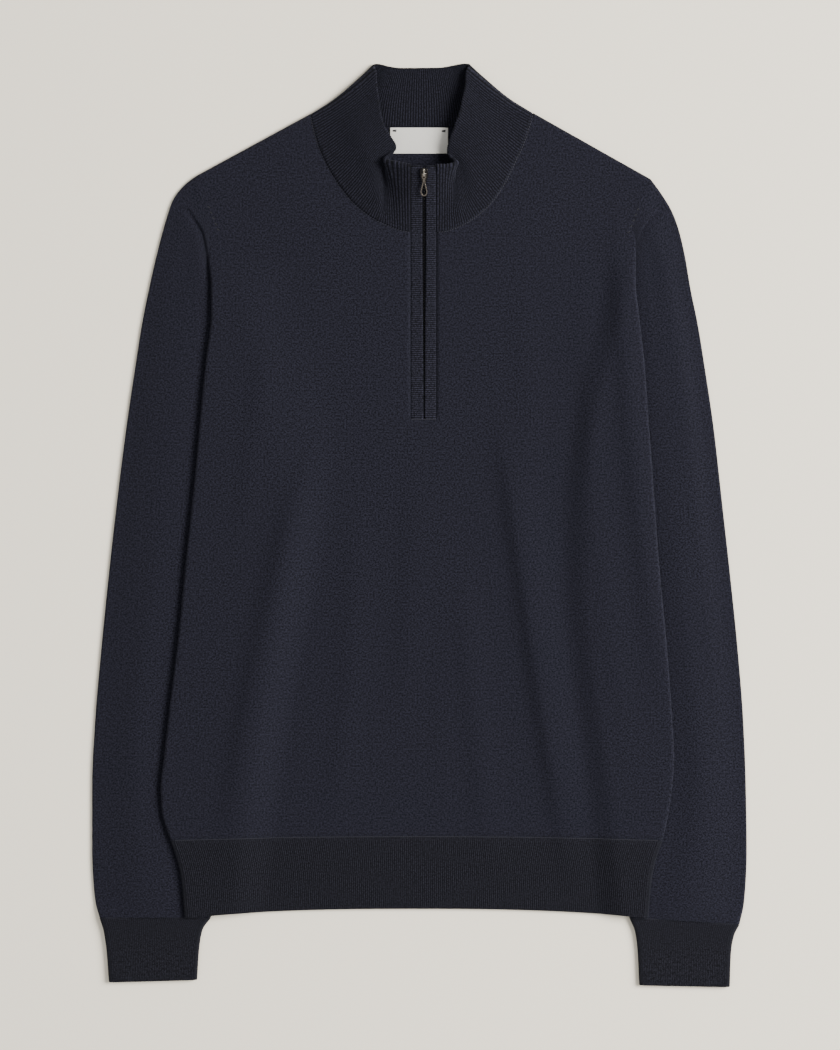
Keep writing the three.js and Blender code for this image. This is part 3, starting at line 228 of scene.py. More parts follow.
COLLAR_RIGHT = [
    ("zip", 0, (13.9, 248.6, 4.6), (13.9, 267, 8.5), (13.9, 286, 14.5), (13.9, 303.7, 20)),
    ("front", 0, (21.2, 249.2, 4.6), (21.2, 267.3, 8.2), (21.2, 286.9, 13.5), (22.1, 303.9, 19.2)),
    ("corner", 0, (28.9, 251.6, 4.6), (27.6, 268.2, 8), (27.2, 287.7, 11.2), (30.8, 307.2, 16.8)),
    ("groove", 4, (35.7, 254.6, 4.6), (33.2, 270.7, 8.3), (30.6, 291.1, 9.8), (26.4, 312, 13)),
    ("waist", 10, (43.4, 258.8, 4.6), (39.1, 275.8, 7.6), (35.3, 297.9, 9.8), (23.2, 317.9, 11)),
    ("wing 1", 17, (52.7, 266, 4.6), (47.2, 283.5, 7.8), (40, 306.4, 10.8), (25.9, 328.1, 12.6)),
    ("wing 2", 23, (62, 275.4, 4.6), (54.8, 295.4, 8), (44.6, 318.3, 11.2), (29.3, 338.3, 13.2)),
    ("wing 3", 25, (72.3, 291.1, 4.6), (62.9, 309.8, 7.8), (50.2, 330.2, 11), (33.6, 350.6, 13)),
    ("wing 4", 21, (80.3, 307.3, 4.6), (68.9, 324.3, 7.2), (54, 342.1, 10.2), (35.9, 361.7, 12)),
    ("wing 5", 11, (88.8, 326.8, 4.5), (74, 340.9, 6.4), (57, 354.5, 8.6), (38.1, 372.7, 9.5)),
    ("side", 0, (94.9, 347.2, 4.1), (77.8, 356.6, 5.3), (59.5, 369.3, 6.9), (38.8, 385.6, 6.6)),
    ("fold", 0, (95.4, 349.4, 2.5), (74.8, 363, 3), (57.2, 377.9, 3.3), (42.4, 390, 3.1)),
    ("behind", 0, (91.8, 347.3, 0.8), (71.4, 359.6, 0.8), (54.4, 374.4, 0.8), (39.4, 391.8, 0.8)),
    ("back 1", 0, (70, 342.8, 0.8), (59, 357, 0.8), (46.5, 373.5, 0.8), (34, 391.2, 0.8)),
    ("back 2", 0, (45, 339.8, 0.8), (41, 356, 0.8), (35.2, 373, 0.8), (28.5, 390, 0.8)),
    ("back 3", 0, (22, 338.2, 0.8), (20.9, 354.6, 0.8), (19, 371, 0.8), (16, 388.1, 0.8)),
]
LEVELS = [0, 0.33, 0.67, 1]

# %% The zip and the label
ZIP = dict(left=-7.65, right=13.6, middle=3.4, top=303.7, seam=248.6, bottom=89.7, gap_top=3.0,
           gap_bottom=1.2, proud=0.2)
TAPE_ENDS = (92, 301)
COIL_HALF, COIL_ENDS = 1.1, (93, 299)
LABEL = dict(left=-25.2, right=23.6, top=336.9, bottom=315.4, level=2.0)

# %% [markdown]
# ## Camera, light and table
# The photograph is taken from straight above with a long lens, so that nothing leans. The light
# comes from the right and a little from the collar's end: the left edge of the left sleeve has a
# soft shadow and the collar is dark inside on the right. A big soft lamp and a pale room do that.

# %% Camera
scene = bpy.context.scene
MM_PER_PIXEL = 0.85
PHOTO_WIDTH = 840
CAMERA_HEIGHT = 4.0
SENSOR = 36.0
camera_data = bpy.data.cameras.new("camera")
camera_data.sensor_fit = "HORIZONTAL"
camera_data.sensor_width = SENSOR
camera_data.lens = SENSOR * CAMERA_HEIGHT / (PHOTO_WIDTH * MM_PER_PIXEL * MM)
camera = bpy.data.objects.new("camera", camera_data)
camera.location = (0, -0.5 * MM_PER_PIXEL * MM, CAMERA_HEIGHT)
scene.collection.objects.link(camera)
scene.camera = camera
print("lens, mm:", round(camera_data.lens))

# %% Lamps and room
def area_lamp(name, place, target, size, watts, colour=(1, 1, 1)):
    data = bpy.data.lights.new(name, "AREA")
    data.shape = "DISK"
    data.size = size
    data.energy = watts
    data.color = colour
    lamp = bpy.data.objects.new(name, data)
    lamp.location = place
    lamp.rotation_euler = (Vector(target) - Vector(place)).to_track_quat("-Z", "Y").to_euler()
    scene.collection.objects.link(lamp)
    return lamp


area_lamp("key_lamp", (3.0, 0.55, 2.55), (0, 0, 0), 2.4, 395, (1.0, 0.985, 0.96))
area_lamp("fill_lamp", (-1.6, -1.4, 2.6), (0, 0, 0), 2.2, 22, (0.97, 0.99, 1.0))
room = bpy.data.worlds.new("room")
room.use_nodes = True
room.node_tree.nodes["Background"].inputs["Color"].default_value = (1.0, 0.99, 0.97, 1)
room.node_tree.nodes["Background"].inputs["Strength"].default_value = 0.5
scene.world = room

# %% [markdown]
# ## Materials
# Each material starts from what the real one is. `linear` turns a colour picked in sRGB into the
# linear colour that shaders use. `node` adds one node, sets what is given and wires what is given.

# %% Helpers for materials
def linear(hex_colour):
    values = [int(hex_colour[i : i + 2], 16) / 255 for i in (1, 3, 5)]
    return tuple(v / 12.92 if v <= 0.04045 else ((v + 0.055) / 1.055) ** 2.4 for v in values) + (1,)


def node(tree, kind, settings, wires=None):
    made = tree.nodes.new(kind)
    for name, value in settings.items():
        if isinstance(name, str) and hasattr(made, name):
            setattr(made, name, value)
        else:
            made.inputs[name].default_value = value
    for name, source in (wires or {}).items():
        tree.links.new(source, made.inputs[name])
    return made


def new_material(name):
    material = bpy.data.materials.new(name)
    material.use_nodes = True
    tree = material.node_tree
    tree.nodes.clear()
    return material, tree


# %% [markdown]
# ### Knitted merino
# A knitted stitch is a small V. Columns of Vs are wales and rows are courses. In this fine gauge a
# wale is really about 0.8 mm wide, which is the size of one pixel here, so wales are drawn 1.3 mm
# wide and courses 1 mm high. Every piece's UV map is in metres, so one recipe fits them all. The V
# comes from shifting each course's wave by the distance to the middle of its wale. The yarn is spun from fibres dyed a little differently, which a noise gives, and the
# fine hairs on its surface catch light at the edges, which the shader calls sheen.

# %% Knitted material
WALE, COURSE = 1.3 * MM, 1.0 * MM
V_SLANT = 0.9


def knitted(name, deep, light, relief, rib_pitch=None, valley_shade=0.6):
    material, tree = new_material(name)
    uv = node(tree, "ShaderNodeUVMap", {"uv_map": "cloth"})
    place = node(tree, "ShaderNodeSeparateXYZ", {}, {0: uv.outputs[0]})
    wale = node(tree, "ShaderNodeMath", {"operation": "MULTIPLY", 1: 1 / WALE}, {0: place.outputs[0]})
    across = node(tree, "ShaderNodeMath", {"operation": "PINGPONG", 1: 0.5}, {0: wale.outputs[0]})
    course = node(tree, "ShaderNodeMath", {"operation": "MULTIPLY", 1: 1 / COURSE},
                  {0: place.outputs[1]})
    slanted = node(tree, "ShaderNodeMath", {"operation": "MULTIPLY_ADD", 1: V_SLANT},
                   {0: across.outputs[0], 2: course.outputs[0]})
    turn = node(tree, "ShaderNodeMath", {"operation": "MULTIPLY", 1: 2 * math.pi},
                {0: slanted.outputs[0]})
    course_wave = node(tree, "ShaderNodeMath", {"operation": "SINE"}, {0: turn.outputs[0]})
    half_turn = node(tree, "ShaderNodeMath", {"operation": "MULTIPLY", 1: 2 * math.pi},
                     {0: across.outputs[0]})
    leg = node(tree, "ShaderNodeMath", {"operation": "SINE"}, {0: half_turn.outputs[0]})
    bumps = node(tree, "ShaderNodeMath", {"operation": "MULTIPLY_ADD", 1: 0.35},
                 {0: course_wave.outputs[0], 2: leg.outputs[0]})
    fibres = node(tree, "ShaderNodeTexNoise", {"Scale": 2600.0, "Detail": 2.0}, {0: uv.outputs[0]})
    height = node(tree, "ShaderNodeMath", {"operation": "MULTIPLY_ADD", 1: 0.7},
                  {0: fibres.outputs[0], 2: bumps.outputs[0]})
    bump = node(tree, "ShaderNodeBump", {"Strength": 1.0, "Distance": relief * MM},
                {"Height": height.outputs[0]})
    melange = node(tree, "ShaderNodeTexNoise", {"Scale": 700.0, "Detail": 4.0, "Roughness": 0.75},
                   {0: uv.outputs[0]})
    shade = node(tree, "ShaderNodeMapRange", {"From Min": 0.405, "From Max": 0.595},
                 {0: melange.outputs[0]})
    colour = node(tree, "ShaderNodeMix", {"data_type": "RGBA", 6: linear(deep), 7: linear(light)},
                  {0: shade.outputs[0]})
    result = colour.outputs[2]
    # Painted shade and painted light on the ribs: the colour is darkened in the valleys between ribs and
    # lightened up to 1.3 times on their ridges
    if rib_pitch:
        rib = node(tree, "ShaderNodeMath", {"operation": "MULTIPLY", 1: 1 / (rib_pitch * MM)},
                   {0: place.outputs[0]})
        ridge = node(tree, "ShaderNodeMath", {"operation": "PINGPONG", 1: 0.5},
                     {0: rib.outputs[0]})
        depth = node(tree, "ShaderNodeMapRange",
                     {"From Min": 0.02, "From Max": 0.34, "To Min": valley_shade, "To Max": 1.3},
                     {0: ridge.outputs[0]})
        scaled = node(tree, "ShaderNodeVectorMath", {"operation": "SCALE"},
                      {0: result, "Scale": depth.outputs[0]})
        result = scaled.outputs[0]
    shader = node(tree, "ShaderNodeBsdfPrincipled",
                  {"Roughness": 0.9, "Specular IOR Level": 0.12, "Sheen Weight": 0.12,
                   "Sheen Roughness": 0.5, "Sheen Tint": linear("#8a90a6")},
                  {"Base Color": result, "Normal": bump.outputs[0]})
    node(tree, "ShaderNodeOutputMaterial", {}, {0: shader.outputs[0]})
    return material


jersey = knitted("merino_jersey", "#07070e", "#252531", 0.26)
# The last number of each ribbed material is the share of its colour left in the painted shade of its rib
# valleys
collar_rib = knitted("merino_rib_collar", "#08080d", "#20202b", 0.2, COLLAR_RIB, 0.04)
welt_rib = knitted("merino_rib_welt", "#09090e", "#1f1f27", 0.2, WELT_RIB, 0.3)
strip_rib = knitted("merino_strip", "#09090f", "#2a2a36", 0.2, STRIP_RIB, 0.0)

# %% [markdown]
# ### The small parts
# The slider and pull are die-cast zinc with a dark nickel plating, polished by tumbling: they
# reflect the room softly. The zip's tape is woven polyester, its teeth are a moulded coil of the
# same polymer, and the label is woven satin, whose long floating threads give a faint shine.

# %% Metal, tape, teeth, thread and label
def plain(name, colour, roughness, metallic=0.0, specular=0.5, grain=None):
    material, tree = new_material(name)
    shader = node(tree, "ShaderNodeBsdfPrincipled",
                  {"Base Color": linear(colour), "Roughness": roughness, "Metallic": metallic,
                   "Specular IOR Level": specular})
    if grain:
        size, relief = grain
        where = node(tree, "ShaderNodeTexCoord", {})
        noise = node(tree, "ShaderNodeTexNoise", {"Scale": 1 / (size * MM), "Detail": 2.0},
                     {0: where.outputs["Object"]})
        bump = node(tree, "ShaderNodeBump", {"Strength": 1.0, "Distance": relief * MM},
                    {"Height": noise.outputs[0]})
        tree.links.new(bump.outputs[0], shader.inputs["Normal"])
        rough = node(tree, "ShaderNodeMapRange",
                     {"To Min": roughness * 0.75, "To Max": roughness * 1.25},
                     {0: noise.outputs[0]})
        tree.links.new(rough.outputs[0], shader.inputs["Roughness"])
    node(tree, "ShaderNodeOutputMaterial", {}, {0: shader.outputs[0]})
    return material


def woven(name, colour, gap_shade, thread, relief, roughness, sheen):
    """Plain or satin weave from two crossed waves, a thread's width apart."""
    material, tree = new_material(name)
    uv = node(tree, "ShaderNodeUVMap", {"uv_map": "cloth"})
    scale = math.pi / 10 / (2 * thread * MM)
    across = node(tree, "ShaderNodeTexWave", {"bands_direction": "X", "Scale": scale},
                  {0: uv.outputs[0]})
    along = node(tree, "ShaderNodeTexWave", {"bands_direction": "Y", "Scale": scale},
                 {0: uv.outputs[0]})
    weave = node(tree, "ShaderNodeMath", {"operation": "MULTIPLY"},
                 {0: across.outputs["Fac"], 1: along.outputs["Fac"]})
    bump = node(tree, "ShaderNodeBump", {"Strength": 1.0, "Distance": relief * MM},
                {"Height": weave.outputs[0]})
    # Painted shade: the colour goes darker where the weave's height is low, in the gaps between threads
    mixed = node(tree, "ShaderNodeMix", {"data_type": "RGBA", 6: linear(gap_shade), 7: linear(colour)},
                 {0: weave.outputs[0]})
    shader = node(tree, "ShaderNodeBsdfPrincipled",
                  {"Roughness": roughness, "Sheen Weight": sheen},
                  {"Base Color": mixed.outputs[2], "Normal": bump.outputs[0]})
    node(tree, "ShaderNodeOutputMaterial", {}, {0: shader.outputs[0]})
    return material


nickel = plain("nickel_plated_zinc", "#8a8178", 0.16, metallic=1.0, grain=(0.8, 0.01))
# The bridge's nickel is much lighter than the pull's: a painted reflection of a bright room above its
# flat top
nickel_painted_reflection = plain("nickel_with_painted_reflection", "#c9c1b5", 0.12, metallic=1.0, grain=(0.8, 0.01))
gunmetal = plain("black_oxide_zinc", "#2e2c2b", 0.36, metallic=1.0, grain=(0.6, 0.02))
teeth_plastic = plain("polyester_coil", "#14141a", 0.42, grain=(0.4, 0.02))
thread = plain("navy_sewing_thread", "#1c1c28", 0.7, grain=(0.25, 0.05))
dark_thread = plain("black_sewing_thread", "#0b0b12", 0.7, grain=(0.25, 0.05))
tape_weave = woven("polyester_tape", "#16161d", "#0c0c11", 0.45, 0.1, 0.8, 0.05)
satin = woven("satin_label", "#dad8d3", "#c4c2bc", 0.28, 0.04, 0.42, 0.1)

# %% The table
TABLE_SIZE, TABLE_DROP = 8, 0.2
table_top = plain("painted_table", "#f7efdd", 0.75, specular=0.3, grain=(6, 0.02))
bpy.ops.mesh.primitive_plane_add(size=TABLE_SIZE, location=(0, 0, -TABLE_DROP * MM))
table = bpy.context.object
table.name = "table"
table.data.materials.append(table_top)

# %% [markdown]
# ## Cloth as a shell
# Knitted cloth has a thickness that shows at every edge: the hem's fold, the collar's rolled top.
# `shell` takes a grid of points in the middle of the cloth, finds the grid's normals, and lays a
# face on either side. Where an edge is free, two extra rings of points bring the faces together as
# a rounded lip, and where a seam joins two pieces, both end flush so that they meet. `up` and
# `down` raise each face, which is how the ribs stand up.

# %% Grids, normals and shells
def grid_normals(points, closed):
    if closed:
        along = np.roll(points, -1, axis=1) - np.roll(points, 1, axis=1)
    else:
        along = np.gradient(points, axis=1)
    up = np.gradient(points, axis=0)
    normals = np.cross(along, up)
    return normals / np.maximum(np.linalg.norm(normals, axis=2, keepdims=True), 1e-9)


def grown(values, axis, at_end, step=None):
    """One more row or column at one border, pushed out by step."""
    lines = np.moveaxis(values, axis, 0)
    lines = lines[::-1] if at_end else lines
    edge = lines[:1].copy()
    if step is not None:
        outward = lines[:1] - lines[1:2]
        length = np.maximum(np.linalg.norm(outward, axis=-1, keepdims=True), 1e-9)
        edge = edge + step[None, :, None] * outward / length
    lines = np.concatenate([edge, lines])
    return np.moveaxis(lines[::-1] if at_end else lines, 0, axis)


# How far each ring of a rounded lip is pushed out, and how much of the thickness it keeps
LIP = ((0.28, 0.8), (0.2, 0.25))
BORDERS = {"first": (0, False), "last": (0, True), "left": (1, False), "right": (1, True)}


def shell(name, points, thick, material, uv, up=0.0, down=0.0, keep=None, closed=False,
          flip=False, lips=(), body="garment"):
    shape = points.shape[:2]
    up, down, share = [np.broadcast_to(value, shape) for value in (up, down, 1.0)]
    normals = grid_normals(points, closed) * (-1 if flip else 1)
    if keep is None:
        keep = np.ones((shape[0] - 1, shape[1] - (0 if closed else 1)), bool)
    for border in lips:
        axis, at_end = BORDERS[border]
        line = -1 if at_end else 0
        whole = np.take(thick + up + down, line, axis)
        base = np.take(share, line, axis)
        for push, part in LIP:
            points = grown(points, axis, at_end, push * whole)
            normals, uv, up, down, share, keep = [
                grown(a, axis, at_end) for a in (normals, uv, up, down, share, keep)]
            np.moveaxis(share, axis, 0)[line] = base * part
    rows, columns = points.shape[:2]
    outer = points + normals * (share * (thick / 2 + up))[..., None]
    inner = points - normals * (share * (thick / 2 + down))[..., None]
    index = np.arange(rows * columns).reshape(rows, columns)
    right = np.roll(index, -1, axis=1)
    quads = np.stack([index[:-1], right[:-1], right[1:], index[1:]], axis=-1)
    quads = quads if closed else quads[:, :-1]
    below = rows * columns
    padded = np.pad(keep, 1, constant_values=False)
    if closed:
        padded[1:-1, 0], padded[1:-1, -1] = keep[:, -1], keep[:, 0]
    rims = []
    for down_by, right_by, p, q in ((-1, 0, 0, 1), (0, 1, 1, 2), (1, 0, 2, 3), (0, -1, 3, 0)):
        beside = np.roll(padded, (-down_by, -right_by), (0, 1))[1:-1, 1:-1]
        edge = quads[keep & ~beside]
        rims.append(np.stack([edge[:, q], edge[:, p], edge[:, p] + below, edge[:, q] + below], -1))
    faces = np.concatenate([quads[keep], quads[keep][:, ::-1] + below, *rims])
    faces = faces[:, ::-1] if flip else faces
    vertices = np.concatenate([outer.reshape(-1, 3), inner.reshape(-1, 3)]) * MM
    both_uv = np.concatenate([uv.reshape(-1, 2)] * 2) * MM
    used = np.unique(faces)
    place = np.zeros(len(vertices), int)
    place[used] = np.arange(len(used))
    return build(name, vertices[used], place[faces].tolist(), material, body, both_uv[used])


def placed(mesh, material, body):
    """A finished mesh as an object that rides on a body of the part."""
    mesh.polygons.foreach_set("use_smooth", [True] * len(mesh.polygons))
    mesh.materials.append(material)
    mesh.update()
    piece = bpy.data.objects.new(mesh.name, mesh)
    scene.collection.objects.link(piece)
    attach(piece, body)
    print(mesh.name, "faces", len(mesh.polygons))
    return piece


def build(name, vertices, faces, material, body="garment", uv=None):
    mesh = bpy.data.meshes.new(name)
    mesh.from_pydata(vertices.tolist(), [], faces)
    if uv is not None:
        loops = np.empty(len(mesh.loops), int)
        mesh.loops.foreach_get("vertex_index", loops)
        layer = mesh.uv_layers.new(name="cloth")
        layer.data.foreach_set("uv", uv[loops].ravel())
    return placed(mesh, material, body)


# %% [markdown]
# ## Heights of the body
# The back lies on the table and the front lies on the back. Where the sleeves are tucked under the
# sides, both layers are lifted. The soft folds are added to that, each a gentle ridge along a bent
# line. Light from the side turns a fold of a few millimetres into a dark band beside a light one.

# %% Levels
lift_at = by_height(LIFT)[0]
lift_slopes = by_height(LIFT_SLOPES)
left_fold = through([r[3] for r in SLEEVES["left"]][::-1], [r[2] for r in SLEEVES["left"]][::-1])
right_fold = through([r[3] for r in SLEEVES["right"]][::-1], [r[2] for r in SLEEVES["right"]][::-1])
NECK_RISE = dict(height=1.0, x=3, y=300, inner=95, outer=165)


def lift(x, y):
    start_left, slope_left, start_right, slope_right = [curve(y) for curve in lift_slopes]
    by_left = 1 - ease(start_left, start_left + slope_left, x - left_fold(y))
    by_right = 1 - ease(start_right, start_right + slope_right, right_fold(y) - x)
    return lift_at(y) * np.maximum(by_left, by_right)


def folds(x, y, rows):
    total = np.zeros(np.shape(x))
    for fold in rows:
        (top_x, top_y), (middle_x, middle_y), (bottom_x, bottom_y) = fold["path"]
        t = (y - bottom_y) / (top_y - bottom_y)
        bend = (middle_y - bottom_y) / (top_y - bottom_y)
        bow = (middle_x - mix(bottom_x, top_x, bend)) / (bend * (1 - bend))
        line = mix(bottom_x, top_x, t) + bow * t * (1 - t)
        fade = ease(-0.2, 0.25, t) * (1 - ease(0.75, 1.2, t))
        flank = np.where(x > line, fold["right"], fold["left"])
        total = total + fold["height"] * fade * np.exp(-(((x - line) / flank) ** 2))
    return total


def front_level(x, y):
    away = np.hypot(x - NECK_RISE["x"], y - NECK_RISE["y"])
    neck = NECK_RISE["height"] * (1 - ease(NECK_RISE["inner"], NECK_RISE["outer"], away))
    return FRONT_LEVEL + lift(x, y) + neck + folds(x, y, FRONT_FOLDS)


def back_level(x, y):
    return BACK_LEVEL + lift(x, y) + folds(x, y, BACK_FOLDS)


# %% [markdown]
# ## The collar's surface
# The collar is one ribbed band, sewn to the neck from one side of the zip round the back to the
# other. In front it stands up and folds over softly into two wings, and behind it lies flat. Each
# table row is one rib's line, and the surface runs through all of them.

# %% Collar surface
stations = COLLAR_LEFT + COLLAR_RIGHT[::-1]
station_points = np.array([row[2:] for row in stations], float)
steps = np.linalg.norm(np.diff(station_points[:, 0], axis=0), axis=1)
runs = np.concatenate([[0], np.cumsum(steps)])
seam_length = runs[-1]
collar_curves = through(runs, station_points)
lean_at = through(runs, [row[1] * (-1 if i < len(COLLAR_LEFT) else 1) for i, row in
                         enumerate(stations)])


def run_of(name):
    return [run for run, row in zip(runs, stations) if row[0] == name]


zip_left_run, zip_right_run = run_of("zip")
fold_left_run, fold_right_run = run_of("fold")
NECK_GAP = 0.5


def collar_point(run, v):
    """Points at a place along the band and a share of the way up it."""
    levels = collar_curves(run + lean_at(run) * v)
    return through(LEVELS, np.moveaxis(levels, 1, 0))(v)


def neck_edge(run, gap=NECK_GAP):
    levels = collar_curves(run)
    out = levels[..., 0, :2] - levels[..., 1, :2]
    out = out / np.linalg.norm(out, axis=-1, keepdims=True)
    return levels[..., 0, :2] + gap * out


print("collar seam length, mm:", round(float(seam_length)))

# %% [markdown]
# ## Front and back panels
# Each panel is a patch between four lines: the hem seam, the two sides with their armholes, and
# the top, which is shoulder, neck and shoulder. Its edges curl down to meet the other layer. The
# front is open for the zip, so two of the grid's columns are moved onto the opening's edges and
# the cells between them are left out.

# %% Body patch
UNDERARM, SHOULDER, EDGE = 0.9, 0.24, 0.06


def armhole(side):
    rows = ARMHOLES[side]
    return [through([r[0] for r in rows], [r[k] for r in rows]) for k in (1, 2)]


def side_line(side, v):
    arm_x, arm_y = armhole(side)
    edge = left_side if side == "left" else right_side
    down = (1 - v) / (1 - UNDERARM)
    y = mix(WELT_SEAM[0], float(arm_y(1)), v / UNDERARM)
    above = v > UNDERARM
    return np.stack([np.where(above, arm_x(down), edge(y)), np.where(above, arm_y(down), y)], -1)


def neck_line(front, t):
    if not front:
        return neck_edge(mix(fold_left_run, fold_right_run, (1 - np.cos(np.pi * t)) / 2), 0)
    half = 0.47
    left = neck_edge(mix(fold_left_run, zip_left_run, np.clip(t / half, 0, 1)))
    right = neck_edge(mix(zip_right_run, fold_right_run, np.clip((t - 1 + half) / half, 0, 1)))
    across = np.clip((t - half) / (1 - 2 * half), 0, 1)[..., None]
    return mix(left, right, across)


def close_up(u, share):
    near = np.minimum(u, 1 - u)
    inset = np.where(near < EDGE, share * (1 - np.cos(np.clip(near / EDGE, 0, 1) * np.pi / 2)),
                     mix(share, 0.5, (near - EDGE) / (0.5 - EDGE)))
    return np.where(u < 0.5, inset, 1 - inset)


def segment_distance(x, y, a, b):
    along = b - a
    t = np.clip(((x - a[0]) * along[0] + (y - a[1]) * along[1]) / (along @ along), 0, 1)
    return np.hypot(x - a[0] - t * along[0], y - a[1] - t * along[1])


def body_patch(front, u, v):
    """x, y and the distance to the nearest curled edge, for a grid of u and v."""
    start, end = neck_edge(fold_left_run), neck_edge(fold_right_run)
    left_top, right_top = side_line("left", np.array(1.0)), side_line("right", np.array(1.0))

    def bottom(s):
        return np.stack([mix(left_side(WELT_SEAM[0]), right_side(WELT_SEAM[0]), s),
                         mix(WELT_SEAM[0], WELT_SEAM[1], 4 * s * (1 - s))], -1)

    def top(s):
        shoulder_left = mix(left_top, start, np.clip(s / SHOULDER, 0, 1)[..., None])
        shoulder_right = mix(right_top, end, np.clip((1 - s) / SHOULDER, 0, 1)[..., None])
        neck = neck_line(front, np.clip((s - SHOULDER) / (1 - 2 * SHOULDER), 0, 1))
        return np.where((s < SHOULDER)[..., None], shoulder_left,
                        np.where((s > 1 - SHOULDER)[..., None], shoulder_right, neck))

    height = left_top[1] - WELT_SEAM[0]
    top_share = CURL / height
    v = np.where(v > 1 - EDGE, 1 - top_share * (1 - np.cos((1 - v) / EDGE * np.pi / 2)),
                 mix(0, 1 - top_share, v / (1 - EDGE)))
    left, right = side_line("left", v), side_line("right", v)
    s = close_up(u, CURL / (right[..., 0] - left[..., 0]))
    by_left, by_right = (1 - ease(0, SHOULDER, s))[..., None], ease(1 - SHOULDER, 1, s)[..., None]
    v = v[..., None]
    zero, one = np.array(0.0), np.array(1.0)
    spot = (mix(bottom(s), top(s), v)
            + by_left * (left - mix(bottom(zero), top(zero), v))
            + by_right * (right - mix(bottom(one), top(one), v)))
    x, y = spot[..., 0], spot[..., 1]
    arm_left, arm_right = side_line("left", np.array(UNDERARM)), side_line("right", np.array(UNDERARM))
    edges = [
        np.where(y < arm_left[1], x - left_side(y), np.hypot(x - arm_left[0], y - arm_left[1])),
        np.where(y < arm_right[1], right_side(y) - x, np.hypot(x - arm_right[0], y - arm_right[1])),
        segment_distance(x, y, left_top, start),
        segment_distance(x, y, right_top, end),
    ]
    return x, y, np.clip(np.min(edges, axis=0), 0, None)


def layered(x, y, edge, level, other):
    """The level of one layer, brought halfway to the other at a curled edge."""
    return mix((level(x, y) + other(x, y)) / 2, level(x, y), curl(edge, CURL))


# %% Front panel
def panel_columns(*inner):
    side = np.concatenate([np.linspace(0, EDGE, 8), np.linspace(EDGE, SHOULDER, 34)[1:]])
    half = np.concatenate([side, *inner])
    half = np.unique(np.round(half, 6))
    return half


left_slit = SHOULDER + (1 - 2 * SHOULDER) * 0.47
front_half = panel_columns(np.linspace(SHOULDER, left_slit, 44), [0.5])
front_u = np.unique(np.round(np.concatenate([front_half, 1 - front_half]), 6))
slit = [int(np.argmin(abs(front_u - left_slit))), int(np.argmin(abs(front_u - 1 + left_slit)))]
panel_v = np.unique(np.round(np.concatenate([
    np.linspace(0, UNDERARM * (1 - EDGE), 118), np.linspace(UNDERARM * (1 - EDGE), 1 - EDGE, 26),
    np.linspace(1 - EDGE, 1, 9)]), 6))


# How far beside the slit columns are moved, and how many rows are nudged to meet its bottom end
SLIT_REACH, NUDGED_ROWS = 60, 12


def front_grid():
    u, v = np.meshgrid(front_u, panel_v)
    x, y, edge = body_patch(True, u, v)
    middle = (slit[0] + slit[1]) // 2
    slit_row = int(np.argmin(abs(y[:, middle] - ZIP["bottom"] + SEAM_GAP)))
    wanted = [ZIP["left"] - SEAM_GAP, ZIP["right"] + SEAM_GAP]
    for i in range(len(panel_v)):
        shift = [wanted[k] - x[i, slit[k]] for k in (0, 1)]
        at = [x[i, slit[0]] - SLIT_REACH, x[i, slit[0]], x[i, slit[1]], x[i, slit[1]] + SLIT_REACH]
        strength = ease(30, ZIP["bottom"] - 5, y[i, middle])
        x[i] += strength * np.interp(x[i], at, [0, *shift, 0])
    bottom = ZIP["bottom"] - SEAM_GAP
    rows = slice(slit_row - NUDGED_ROWS, slit_row + NUDGED_ROWS + 1)
    nudge = (bottom - y[slit_row, middle]) * np.hanning(2 * NUDGED_ROWS + 3)[1:-1]
    y[rows] += nudge[:, None]
    z = layered(x, y, edge, front_level, back_level)
    keep = np.ones((len(panel_v) - 1, len(front_u) - 1), bool)
    keep[slit_row:, slit[0] : slit[1]] = False
    return np.stack([x, y, z], -1), keep


front_points, front_keep = front_grid()
front_knit = shell("front_panel", front_points, JERSEY, jersey, front_points[..., :2],
                   keep=front_keep)
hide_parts("front")

# %% Back panel
back_half = panel_columns(np.linspace(SHOULDER, 0.5, 30))
back_u = np.unique(np.round(np.concatenate([back_half, 1 - back_half]), 6))
u, v = np.meshgrid(back_u, panel_v)
x, y, edge = body_patch(False, u, v)
back_points = np.stack([x, y, layered(x, y, edge, back_level, front_level)], -1)
back_knit = shell("back_panel", back_points, JERSEY, jersey, back_points[..., :2],
                  flip=True)
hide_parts("back")

# %% [markdown]
# ## Ribbed hem
# A rib is knitted from columns that come forward and columns that go back, so it pulls in like an
# accordion. The hem is two such bands, front and back. Four columns of points for each rib are
# enough to round it. The back band rests on the table, so its underside stays flat.

# %% Hem
def rib_columns(start, end, count, per_rib=4):
    """Places across a band, and the height of the rib at each."""
    turns = np.linspace(0, count, count * per_rib + 1)
    return mix(start, end, turns / count), np.sqrt(0.5 - 0.5 * np.cos(2 * np.pi * turns))


def welt_front(x, y):
    return WELT_FRONT_LEVEL + lift(x, y) + folds(x, y, FRONT_FOLDS)


def welt_back(x, y):
    return WELT_BACK_LEVEL + lift(x, y) + folds(x, y, BACK_FOLDS)


def hem_grid(front):
    width = float(right_side(-300) - left_side(-300))
    count = round(width / WELT_RIB)
    ribbed, raised = rib_columns(EDGE, 1 - EDGE, count)
    lip = np.linspace(0, EDGE, 7)[:-1]
    columns = np.concatenate([lip, ribbed, 1 - lip[::-1]])
    heights = np.concatenate([lip * 0, raised, lip * 0])
    u, v = np.meshgrid(columns, np.linspace(0, 1, 15))
    share = close_up(u, CURL / width)
    low = mix(*WELT_BOTTOM, 1 - abs(1 - 2 * share) ** 2.5)
    high = mix(*WELT_SEAM, 4 * share * (1 - share)) - 0.15
    y = mix(low, high, v)
    left, right = left_side(y), right_side(y)
    x = mix(left, right, share)
    level, other = (welt_front, welt_back) if front else (welt_back, welt_front)
    z = layered(x, y, np.minimum(x - left, right - x), level, other)
    uv = np.stack([(u - EDGE) / (1 - 2 * EDGE) * count * WELT_RIB, y], -1)
    return np.stack([x, y, z], -1), np.broadcast_to(heights, x.shape) * RIB_RAISE, uv


